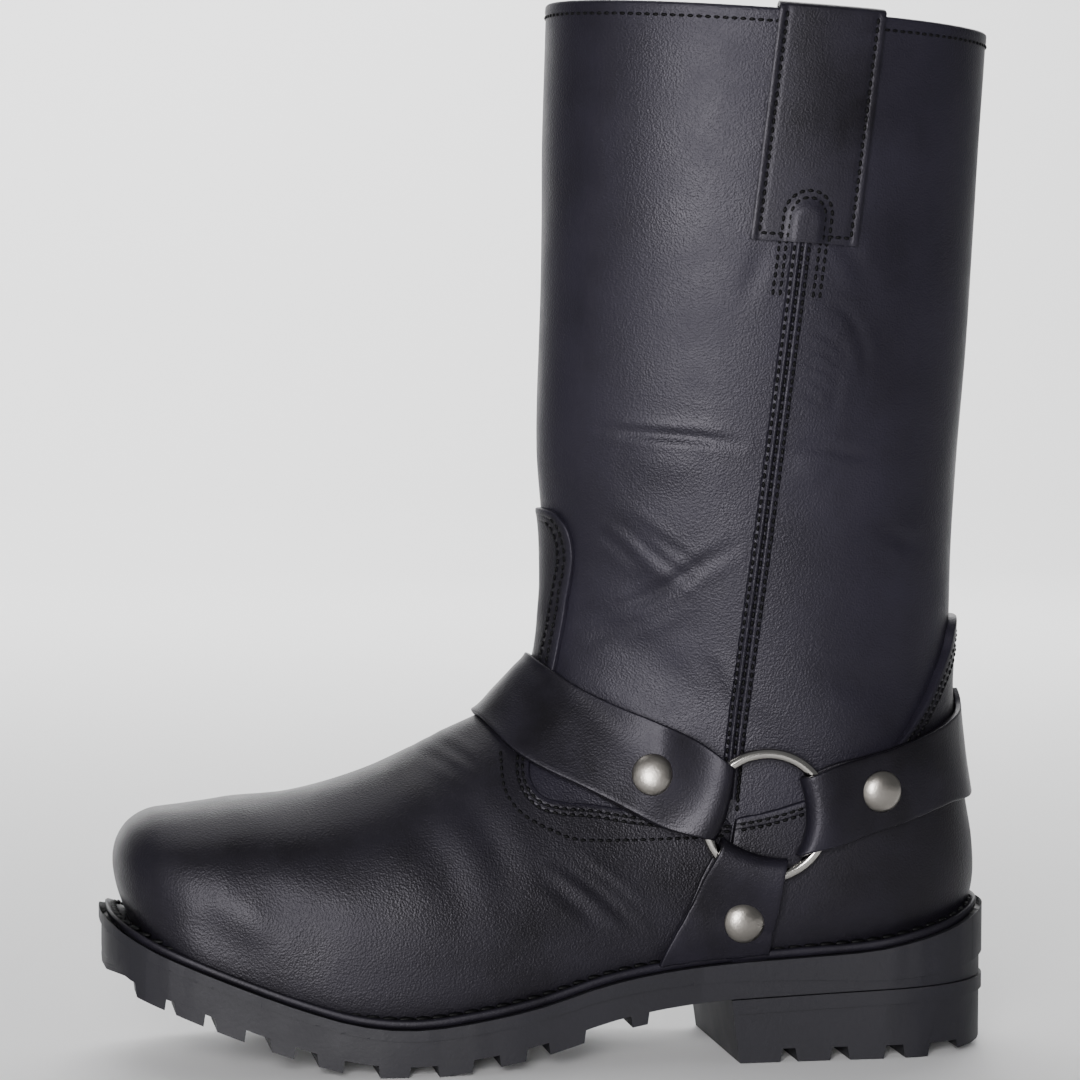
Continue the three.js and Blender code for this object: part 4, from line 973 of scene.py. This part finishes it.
class Strap:
    """A strap's surface on one side: t runs from the ring outwards and e across from lower edge to
    upper edge."""

    def __init__(self, loop, side, form, edges, base, end_u):
        self.side, self.form, self.base = side, form, base
        self.heading = strap_heading(loop)
        self.edges = []
        for name in ("lower", "upper"):
            line = smooth_line(edges[name])
            v, u = form.locate(line[:, 0], line[:, 1], side)
            u[-1] = side * end_u
            run = np.linspace(0, 1, len(line))
            fade = smoothstep(run, 0.75, 1.0)
            u = u * (1 - fade) + fade * np.interp(run, [0.75, 1.0], [np.interp(0.75, run, u), u[-1]])
            self.edges.append((run, v, u))
        middle = self.chart(np.linspace(0, 1, 201), np.zeros(201))[1]
        self.runs = self.run_of(middle)

    def chart(self, t, e):
        """The v and u of places under the strap, and their points."""
        share = (e + 1) / 2
        low, high = [(np.interp(t, run, v), np.interp(t, run, u)) for run, v, u in self.edges]
        v = low[0] + (high[0] - low[0]) * share
        u = low[1] + (high[1] - low[1]) * share
        return (v, u), self.form.point(v, u)

    def run_of(self, points):
        return (points[:, [0, 2]] - np.array(RING_CENTRE)) @ self.heading

    def t_of(self, run):
        return np.interp(run, self.runs, np.linspace(0, 1, 201))

    def point(self, run, t, e, height):
        """A place on the strap at a height over the boot: run is used where t is 0."""
        (v, u), base = self.chart(t, e)
        normal = self.form.normal(v, u)
        free = base + normal * (self.base + height)[:, None]
        at = self.run_of(base)
        shift = np.where(t <= 0, run - self.runs[0], 0)
        neck = neck_share(run)
        centre = self.chart(t, np.zeros_like(e))[1]
        narrowing, bowed = 0.13, 1.2
        flat = base + (centre - base) * (neck * narrowing)[:, None]
        bow = bowed * e * e * neck
        flat[:, 0] += self.heading[0] * (shift - bow)
        flat[:, 2] += self.heading[1] * (shift - bow)
        flat[:, 1] = ring_plane(self.side, height)
        k = smoothstep(at, LEAVES_RING, ON_BOOT)
        return flat * (1 - k)[:, None] + free * k[:, None]


def strap_path(last_run):
    """A strap's outer face from its hidden end, round the ring and onto the boot: (run, height)."""
    doubled = 2 * STRAP_THICKNESS
    radius = FOLD_HEIGHT / 2

    def over(run):
        return doubled + (FOLD_HEIGHT - doubled) * float(1 - smoothstep(run, 19, ON_BOOT))

    path = [(run, 0.0) for run in (50, 44, 38, 32, 28, 24, 21)]
    path += [
        (FOLD_CENTRE - radius * math.sin(a), radius - radius * math.cos(a))
        for a in np.linspace(0, math.pi, FOLD_STEPS)
    ]
    path += [(run, over(run)) for run in np.arange(19.5, WIDER_STEPS, 1.5)]
    path += [
        (run, over(run) - (STRAP_THICKNESS - 0.1) * float(smoothstep(run, *DOUBLED_ENDS)))
        for run in np.arange(WIDER_STEPS, last_run, 2.0)
    ]
    return path


def strap_grid(strap, columns=18):
    """One side's strap as a grid from its hidden end to the middle line."""
    end_run = strap.runs[-1]
    path = strap_path(min(end_run - 1, LONG_STRAP_RUN))
    far = strap.t_of(path[-1][0])
    tail = list(np.linspace(float(far), 1, 26)[1:])
    rows = len(path) + len(tail) - 1
    bm, places = grid_mesh(columns, rows)
    e, row = grid_rows(places, rows)
    runs = np.array([p[0] for p in path] + [end_run] * len(tail))
    heights = np.array([p[1] for p in path] + [STRAP_THICKNESS + 0.1] * len(tail))
    ts = np.array([float(strap.t_of(p[0])) if p[0] > strap.runs[0] else 0.0 for p in path] + tail)
    set_points(bm, strap.point(runs[row], ts[row], e, heights[row]))
    return bm


def round_edges(piece, width, segments, sharpest):
    """Rounds the edges that turn by more than an angle in degrees."""
    rounding = piece.modifiers.new("rounded_edges", "BEVEL")
    rounding.width, rounding.segments = width * MM, segments
    rounding.limit_method, rounding.angle_limit = "ANGLE", math.radians(sharpest)


def soften(piece, thickness, width):
    """Gives a strap its thickness inwards and rounds its edges."""
    wall = piece.modifiers.new("thickness", "SOLIDIFY")
    wall.thickness, wall.offset = thickness * MM, -1
    round_edges(piece, width, 3, 50)


def build_long_strap(props, loop, form, edges, base, end_u):
    """The front or the rear strap, from ring to ring."""
    bm = bmesh.new()
    for side in (OUTER, INNER):
        half = strap_grid(Strap(loop, side, form, edges, base, end_u))
        if (side == INNER) != (loop == "rear"):
            bmesh.ops.reverse_faces(half, faces=half.faces)
        join(bm, half)
    bmesh.ops.remove_doubles(bm, verts=bm.verts, dist=5e-5)
    node = f"strap_{loop}"
    piece = finish_piece(bm, f"harness_{node}", strap_leather(props), "boot", [node])
    soften(piece, STRAP_THICKNESS - 0.1, 0.55)


def build_lower_strap(props, name, side):
    """The short strap from a ring down to the welt, its edges cut straight in the side view."""
    heading = strap_heading("lower")
    across_way = np.array([-heading[1], heading[0]])
    path = strap_path(LOWER_STRAP_RUN)
    rows, columns = len(path) - 1, 18
    bm, places = grid_mesh(columns, rows)
    e, row = grid_rows(places, rows)
    run, height = np.array(path)[row].T

    def spots(run, e):
        neck = neck_share(run)
        half_width, flare, drawn_in, bowed = 14.5, 5.0, 2.6, 2.0
        width = half_width + flare * smoothstep(run, 30, LOWER_STRAP_RUN) - drawn_in * neck
        bow = bowed * e * e * neck
        return np.array(RING_CENTRE) + heading * (run - bow)[:, None] + across_way * (e * width)[:, None]

    tries = np.linspace(WIDER_STEPS, 75, 200)
    over_welt, ends = 3.9, []
    for column in np.linspace(-1, 1, columns + 1):
        line = spots(tries, np.full(200, column))
        gap = line[:, 1] - sole_top(line[:, 0]) - over_welt
        ends.append(tries[np.argmax(gap < 0)])
    end = np.interp(e, np.linspace(-1, 1, columns + 1), ends)
    last = max(p[0] for p in path)
    outer_face = (row > 10) & (run > WIDER_STEPS)
    stretched = WIDER_STEPS + (run - WIDER_STEPS) * (end - WIDER_STEPS) / (last - WIDER_STEPS)
    run = np.where(outer_face, stretched, run)
    spot = spots(run, e)
    v, u = FORM.locate(spot[:, 0], spot[:, 1], side)
    free = FORM.point(v, u) + FORM.normal(v, u) * (COUNTER_OUT + STRAP_CLEARANCE + height)[:, None]
    flat = np.stack([spot[:, 0], ring_plane(side, height), spot[:, 1]], axis=1)
    k = smoothstep(run, LEAVES_RING, ON_BOOT - 2)[:, None]
    set_points(bm, flat * (1 - k) + free * k)
    if side == OUTER:
        bmesh.ops.reverse_faces(bm, faces=bm.faces)
    leather, node = strap_leather(props), f"strap_lower_{name}"
    piece = finish_piece(bm, f"harness_lower_{name}", leather, "boot", [node])
    soften(piece, STRAP_THICKNESS - 0.1, 0.55)


def build_ring(props, name, side):
    """A ring of round wire, standing in its three straps."""
    bm = bmesh.new()
    centre = Vector((RING_CENTRE[0], ring_plane(side, FOLD_HEIGHT / 2), RING_CENTRE[1])) * MM
    start = Matrix.Translation(centre + Vector((RING_RADIUS * MM, 0, 0)))
    bmesh.ops.create_circle(bm, segments=20, radius=WIRE_RADIUS * MM, matrix=start)
    spin_profile(bm, bm.verts[:] + bm.edges[:], centre, (0, 1, 0), 96)
    body = "ring_outer" if side == OUTER else "ring_inner"
    finish_piece(bm, f"nickel_ring_{name}", nickel_material(props), body, [f"ring_{name}"])


def build_rivet(props, loop, name, side):
    """A domed rivet with a rolled rim, square to the strap under it."""
    node = f"rivet_{loop}_{name}"
    low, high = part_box(node)
    _, normals = FORM.on(np.array([RIVETS[loop]]), side)
    out = Vector(normals[0]).normalized()
    bm = bmesh.new()
    verts = [bm.verts.new((r * MM, 0, z * MM)) for r, z in RIVET_PROFILE]
    edges = [bm.edges.new(pair) for pair in zip(verts[:-1], verts[1:])]
    spin_profile(bm, verts + edges, (0, 0, 0), (0, 0, 1), 36)
    turn = out.to_track_quat("Z", "Y").to_matrix().to_4x4()
    lift = (low + high) / 2 - out * 0.0003
    bmesh.ops.transform(bm, matrix=Matrix.Translation(lift) @ turn, verts=bm.verts)
    finish_piece(bm, f"domed_{node}", antique_material(props), "boot", [node])


PULL_FOOT = float(collar_height(82.0)) - PULL_LENGTH


def pull_point(side, level, depth, e):
    """A place on a pull strap: its height along the seam's line, its depth and how far across."""
    top, foot = np.array(SEAM_TOP), np.array(SEAM_FOOT)
    slant = (top[0] - foot[0]) / (top[1] - foot[1])
    top_x = top[0] + slant * (COLLAR_FRONT[1] - top[1])
    collar = collar_height(top_x)
    x = top_x + slant * (level - collar) + e * PULL_HALF
    z = level + collar_height(x) - collar
    v, u = FORM.locate(x, z, side)
    return FORM.point(v, u) + FORM.normal(v, u) * depth[:, None]


def build_pull_strap(props, name, side):
    """A pull strap folded over the collar, its outer end stitched down over the seam."""
    foot = PULL_FOOT
    crown = foot + PULL_LENGTH + 1.2
    outer_depth, inner_depth = 2.3, -5.0
    middle, reach = (outer_depth + inner_depth) / 2, (outer_depth - inner_depth) / 2
    outside = [(z, outer_depth) for z in np.linspace(foot, crown, 52)]
    arch = [
        (crown + 0.5 * reach * math.sin(a), middle + reach * math.cos(a))
        for a in np.linspace(0, math.pi, 14)[1:-1]
    ]
    inside = [(z, inner_depth) for z in np.linspace(crown, foot, 40)]
    path = np.array(outside + arch + inside)
    rows, columns = len(path) - 1, 36
    bm, places = grid_mesh(columns, rows)
    e, row = grid_rows(places, rows)
    level, depth = path[row, 0], path[row, 1].copy()
    across = np.abs(e) * PULL_HALF
    out = row < len(outside)
    below = level - foot
    piping = 0.55 * np.exp(-((across - 17.6) / 0.8) ** 2)
    piping -= 0.25 * np.exp(-((across - 15.8) / 0.6) ** 2)
    bump = 1.3 * smoothstep(7.5 - np.hypot(across, np.maximum(below - 8, 0)), 0, 4) * (below < 17)
    depth += np.where(out, piping + bump, 0)
    set_points(bm, pull_point(side, level, depth, e))
    if side == INNER:
        bmesh.ops.reverse_faces(bm, faces=bm.faces)
    leather, node = strap_leather(props), f"pull_strap_{name}"
    piece = finish_piece(bm, f"pull_loop_{name}", leather, "boot", [node])
    soften(piece, 1.8, 0.4)


def sole_outline(count=720):
    """The sole's edge seen from above, in even steps from the toe round the outer side."""
    table = np.array(SOLE_PLAN)
    turn = np.linspace(0, 2 * np.pi, 2001)
    x = -HALF_SOLE * np.cos(turn)
    ends = np.ones(len(x))
    for (reach, power), from_end in ((TOE_ROUND, x + HALF_SOLE), (HEEL_ROUND, HALF_SOLE - x)):
        ends *= (1 - np.clip(1 - from_end / reach, 0, 1) ** power) ** (1 / power)
    outer = turn <= np.pi
    half = np.where(outer, hermite(table[:, 0], table[:, 1], x), hermite(table[:, 0], table[:, 2], x))
    y = np.where(outer, -1, 1) * half * ends
    run = np.concatenate([[0], np.cumsum(np.hypot(np.diff(x), np.diff(y)))])
    even = np.linspace(0, run[-1], count + 1)[:-1]
    return np.stack([np.interp(even, run, x), np.interp(even, run, y)], axis=1)


def inset_outline(line, inset):
    run = np.roll(line, -1, axis=0) - np.roll(line, 1, axis=0)
    run /= np.hypot(run[:, 0], run[:, 1])[:, None]
    return line + np.stack([-run[:, 1], run[:, 0]], axis=1) * inset


def build_welt(props):
    """The stitched welt round the upper's foot."""
    columns = 480
    rows = len(WELT_PROFILE) - 1
    bm, places = grid_mesh(columns, rows)
    line = sole_outline(columns)
    column = np.round(places[:, 0] * columns).astype(int) % columns
    _, row = grid_rows(places, rows)
    points = np.zeros((len(places), 3))
    for k, (inset, height) in enumerate(WELT_PROFILE):
        ring = inset_outline(line, inset)
        mask = row == k
        points[mask, :2] = ring[column[mask]]
        points[mask, 2] = sole_top(points[mask, 0]) + height
    set_points(bm, points)
    close_seams(bm)
    finish_piece(bm, "stitched_welt", welt_leather(props), "boot", ["welt"])
    bm = bmesh.new()
    ring = inset_outline(line, 5.0)
    ring = np.concatenate([ring, ring[:1]])
    points = np.column_stack([ring, sole_top(ring[:, 0]) + 3.35])
    normals = np.tile([0.0, 0.0, 1.0], (len(points), 1))
    lay_beads(bm, points, normals, 5.6, (6.2, 2.2, 1.9), 0.24)
    finish_piece(bm, "welt_stitching", thread_material(props), "boot")


def round_outline(bm):
    """Cuts the long edges of a sole's side finer and moves them onto the smooth outline."""
    line = sole_outline(2400)
    tree = kdtree.KDTree(len(line))
    for index, (x, y) in enumerate(line):
        tree.insert((x, y, 0), index)
    tree.balance()
    inner = inset_outline(line, 1.0) - line

    def nearest(vert):
        at = Vector((vert.co.x / MM, vert.co.y / MM, 0))
        _, index, _ = tree.find(at)
        return (at.x - line[index][0]) * inner[index][0] + (at.y - line[index][1]) * inner[index][1], index

    inset = bm.verts.layers.float.new("inset")
    for vert in bm.verts:
        vert[inset] = nearest(vert)[0]
    rim = [
        edge for edge in bm.edges
        if max(vert[inset] for vert in edge.verts) < 7.5
        and math.hypot(*(edge.verts[0].co - edge.verts[1].co).xy) > 4 * MM
    ]
    bmesh.ops.subdivide_edges(bm, edges=rim, cuts=3, use_grid_fill=True)
    for vert in bm.verts:
        reach, index = nearest(vert)
        if reach < 7.5:
            shift = vert[inset] - reach
            vert.co.x += inner[index][0] * shift * MM
            vert.co.y += inner[index][1] * shift * MM
    bmesh.ops.triangulate(bm, faces=[face for face in bm.faces if len(face.verts) > 4])


def solid_mesh(node):
    """A solid's own mesh, its vertices merged."""
    bm = bmesh.new()
    bm.from_mesh(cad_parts[node].data)
    bmesh.ops.remove_doubles(bm, verts=bm.verts, dist=1e-6)
    return bm


def build_sole(props):
    """Outsole and heel: the solids' shapes with a smooth outline and moulded edges."""
    for node in ("outsole", "heel"):
        bm = solid_mesh(node)
        round_outline(bm)
        rubber = rubber_material(props)
        piece = finish_piece(bm, f"rubber_{node}", rubber, "boot", [node], sharp=28)
        round_edges(piece, 0.5, 2, 35)
        piece.modifiers.new("even_shading", "WEIGHTED_NORMAL").keep_sharp = True


def build_insole(props):
    leather = lining_leather("insole_leather", props, 1.2, 1.8, 0.65, (500.0, 0.5))
    finish_piece(solid_mesh("insole"), "footbed", leather, "boot", ["insole"], sharp=40)


def build_row_stitching(props):
    """Rows of stitches on the vamp, counter and seams, on both sides of the boot."""
    on_vamp, on_counter, on_seam, on_tack = VAMP_OUT + 0.1, COUNTER_OUT + 0.1, 1.2, 1.3
    edge = smooth_line(VAMP_EDGE)
    seen = edge[(edge[:, 0] > 1.5) | (edge[:, 1] < 175)]
    counter, seam = smooth_line(COUNTER_EDGE[:-1]), smooth_line((SEAM_FOOT, SEAM_TOP))
    vamp_rows = [(seen, on_vamp, shift) for shift in VAMP_ROWS]
    vamp_rows += [(smooth_line(row), on_vamp, 0) for row in (VAMP_OUTER_ROW, STRAP_FOOT_ROW)]
    seam_rows = [(seam, on_seam, shift) for shift in SEAM_ROWS]
    seam_rows += [(smooth_line(tack), on_tack, 0) for tack in SEAM_TACKS]
    counter_rows = [(counter, on_counter, shift) for shift in COUNTER_ROWS]
    for name, rows in (("vamp", vamp_rows), ("counter", counter_rows), ("seams", seam_rows)):
        bm = bmesh.new()
        for side in SIDES.values():
            for line, depth, shift in rows:
                points, normals = FORM.on(offset_line(line, shift), side, depth)
                lay_stitches(bm, points, normals, props.stitch / MM)
        finish_piece(bm, f"stitching_{name}", thread_material(props), "boot")


def build_collar_stitching(props):
    """The row of stitches round the boot below the collar."""
    bm = bmesh.new()
    turn = np.linspace(-1, 1, 400)
    row = collar_line(turn, COLLAR_ROW)
    normals = FORM.normal(row, turn)
    lay_stitches(bm, FORM.point(row, turn) + normals * 0.1, normals, props.stitch / MM)
    finish_piece(bm, "stitching_collar", thread_material(props), "boot")


def build_pull_stitching(props):
    """Stitches down each pull strap's edges, across its foot and round the arch over the seam."""
    bm = bmesh.new()
    foot, foot_row, side_row = PULL_FOOT, PULL_FOOT + 2.4, 0.85
    levels = np.linspace(foot_row, foot + PULL_LENGTH, 90)
    across = np.linspace(-0.84, 0.84, 40)
    rows = [(levels, np.full(90, e)) for e in (side_row, -side_row)]
    rows.append((np.full(40, foot_row), across))
    for radius in ARCH_RADII:
        arch = [
            (radius * math.cos(a), foot + ARCH_CENTRE + radius * math.sin(a))
            for a in np.linspace(0, math.pi, 24)
        ]
        fine = smooth_line([(radius, foot - ARCH_TAIL), *arch, (-radius, foot - ARCH_TAIL)])
        rows.append((fine[:, 1], fine[:, 0] / PULL_HALF))
    for side in SIDES.values():
        for level, e in rows:
            high = np.where(level < foot + 0.5, 0.15, 2.5)
            points = pull_point(side, level, high, e)
            base = pull_point(side, level, high - 1, e)
            lay_stitches(bm, points, points - base, props.stitch / MM)
    finish_piece(bm, "stitching_pull_loops", thread_material(props), "boot")


def stage_object(name, data):
    thing = bpy.data.objects.new(name, data)
    bpy.context.scene.collection.objects.link(thing)
    return thing


def build_floor():
    """A pale floor curving up behind the boot."""
    width, near, depth, bend, bend_run, under_lugs = 14.0, -4.0, 9.0, 3.0, 2.0, 0.0002
    bm, places = grid_mesh(2, 40)
    for vert, (a, b) in zip(bm.verts, places):
        run = b * depth + near
        turn = min(max(run - bend, 0), bend_run) / bend_run * math.pi / 2
        back, rise = min(run, bend) + 1.6 * math.sin(turn), 5.2 * (1 - math.cos(turn))
        vert.co = Vector(((a - 0.5) * width, back, rise - under_lugs))
    for face in bm.faces:
        face.smooth = True
    mesh = bpy.data.meshes.new("floor")
    bm.to_mesh(mesh)
    bm.free()
    material, _, shader = new_material("pale_floor")
    shader.inputs["Base Color"].default_value = (0.82, 0.82, 0.82, 1)
    shader.inputs["Roughness"].default_value = 0.7
    mesh.materials.append(material)
    stage_object("floor", mesh)


# Lights as (name, place, what it is aimed at, size, power, colour), in metres and watts.
BOOT_MIDDLE, WALL_MIDDLE = (0, 0, 0.17), (0, 4.4, 1.2)
LIGHTS = (
    ("key_light", (-0.6, -2.3, 0.5), BOOT_MIDDLE, (0.8, 1.1), 104, (1, 0.99, 1)),
    ("side_light", (-1.9, -1.2, 0.9), BOOT_MIDDLE, (0.5, 1.4), 5, (1, 1, 1)),
    ("top_light", (-0.2, 0.7, 2.0), BOOT_MIDDLE, (1.6, 0.8), 16, (1, 1, 1)),
    ("back_light", (1.0, 2.0, 1.6), BOOT_MIDDLE, (1.6, 1.2), 20, (1, 1, 1)),
    ("wall_light", (0, 1.9, 2.9), WALL_MIDDLE, (3.0, 1.0), 260, (1, 1, 1)),
)


def build_lights():
    """Soft lights over the boot and the wall behind, and a dim studio round them."""
    for name, place, target, size, power, colour in LIGHTS:
        light = bpy.data.lights.new(name, "AREA")
        light.shape, light.size, light.size_y = "RECTANGLE", *size
        light.energy, light.color = power, colour
        lamp = stage_object(name, light)
        lamp.location = place
        lamp.rotation_euler = (Vector(target) - Vector(place)).to_track_quat("-Z", "Y").to_euler()
    world = bpy.data.worlds.new("studio")
    world.use_nodes = True
    back = world.node_tree.nodes["Background"]
    back.inputs["Color"].default_value = (0.95, 0.97, 1.0, 1)
    back.inputs["Strength"].default_value = 0.2
    bpy.context.scene.world = world


# The camera's place, what it looks at, its lens and how far it leans, as in the photograph.
CAMERA_PLACE, CAMERA_AIM = (-219.0, -1382.8, 245.0), (-2.57, 0.0, 178.39)
CAMERA_LENS, CAMERA_ROLL = 133.49, 0.275


def build_camera():
    """The camera, seeing the boot's outer side as the photograph does."""
    camera = bpy.data.cameras.new("camera")
    camera.lens, camera.sensor_width = CAMERA_LENS, 36
    camera.clip_start, camera.clip_end = 0.05, 50
    seen = stage_object("camera", camera)
    seen.location = Vector(CAMERA_PLACE) * MM
    aim = Vector(CAMERA_AIM) * MM - seen.location
    roll = Matrix.Rotation(math.radians(CAMERA_ROLL), 4, "Z")
    seen.rotation_euler = (aim.to_track_quat("-Z", "Y").to_matrix().to_4x4() @ roll).to_euler()
    bpy.context.scene.camera = seen


class BOOT_OT_upper(bpy.types.Operator):
    """Builds the upper: shaft, lining, vamp, counter, seams and insole."""

    bl_idname = "boot.upper"
    bl_label = "Upper"

    def execute(self, context):
        props = context.scene.boot_finish
        build_shaft(props)
        build_vamp(props)
        build_counter(props)
        for name, side in SIDES.items():
            build_seam(props, name, side)
        build_insole(props)
        return {"FINISHED"}


class BOOT_OT_harness(bpy.types.Operator):
    """Builds the straps, rings and rivets, and the pull straps."""

    bl_idname = "boot.harness"
    bl_label = "Harness"

    def execute(self, context):
        props = context.scene.boot_finish
        build_long_strap(props, "front", BRIDGED_FORM, FRONT_STRAP, VAMP_OUT + STRAP_CLEARANCE, 0)
        build_long_strap(props, "rear", FORM, REAR_STRAP, COUNTER_OUT + STRAP_CLEARANCE, 1)
        for name, side in SIDES.items():
            build_lower_strap(props, name, side)
            build_ring(props, name, side)
            build_pull_strap(props, name, side)
            for loop in HEADINGS:
                build_rivet(props, loop, name, side)
        return {"FINISHED"}


class BOOT_OT_sole(bpy.types.Operator):
    """Builds the welt, outsole and heel."""

    bl_idname = "boot.sole"
    bl_label = "Sole"

    def execute(self, context):
        props = context.scene.boot_finish
        build_welt(props)
        build_sole(props)
        return {"FINISHED"}


class BOOT_OT_stitching(bpy.types.Operator):
    """Lays the rows of stitches."""

    bl_idname = "boot.stitching"
    bl_label = "Stitching"

    def execute(self, context):
        props = context.scene.boot_finish
        build_row_stitching(props)
        build_collar_stitching(props)
        build_pull_stitching(props)
        return {"FINISHED"}


class BOOT_OT_stage(bpy.types.Operator):
    """Sets the floor, the lights and the camera."""

    bl_idname = "boot.stage"
    bl_label = "Stage"

    def execute(self, context):
        build_floor()
        build_lights()
        build_camera()
        return {"FINISHED"}


class BOOT_PT_panel(bpy.types.Panel):
    """Lists the boot's steps and its finish."""

    bl_idname = "BOOT_PT_panel"
    bl_label = "Harness Boot"
    bl_space_type = "VIEW_3D"
    bl_region_type = "UI"
    bl_category = "Harness Boot"

    def draw(self, context):
        for step in STEPS:
            self.layout.operator(step.bl_idname)
        for name in BootFinish.__annotations__:
            self.layout.prop(context.scene.boot_finish, name)


STEPS = (BOOT_OT_upper, BOOT_OT_harness, BOOT_OT_sole, BOOT_OT_stitching, BOOT_OT_stage)
CLASSES = (BootFinish, *STEPS, BOOT_PT_panel)


def register():
    for kind in CLASSES:
        bpy.utils.register_class(kind)
    bpy.types.Scene.boot_finish = PointerProperty(type=BootFinish)


def unregister():
    del bpy.types.Scene.boot_finish
    for kind in reversed(CLASSES):
        bpy.utils.unregister_class(kind)


def main():
    register()
    for step in STEPS:
        area, name = step.bl_idname.split(".")
        getattr(getattr(bpy.ops, area), name)()


if __name__ == "__main__":
    main()
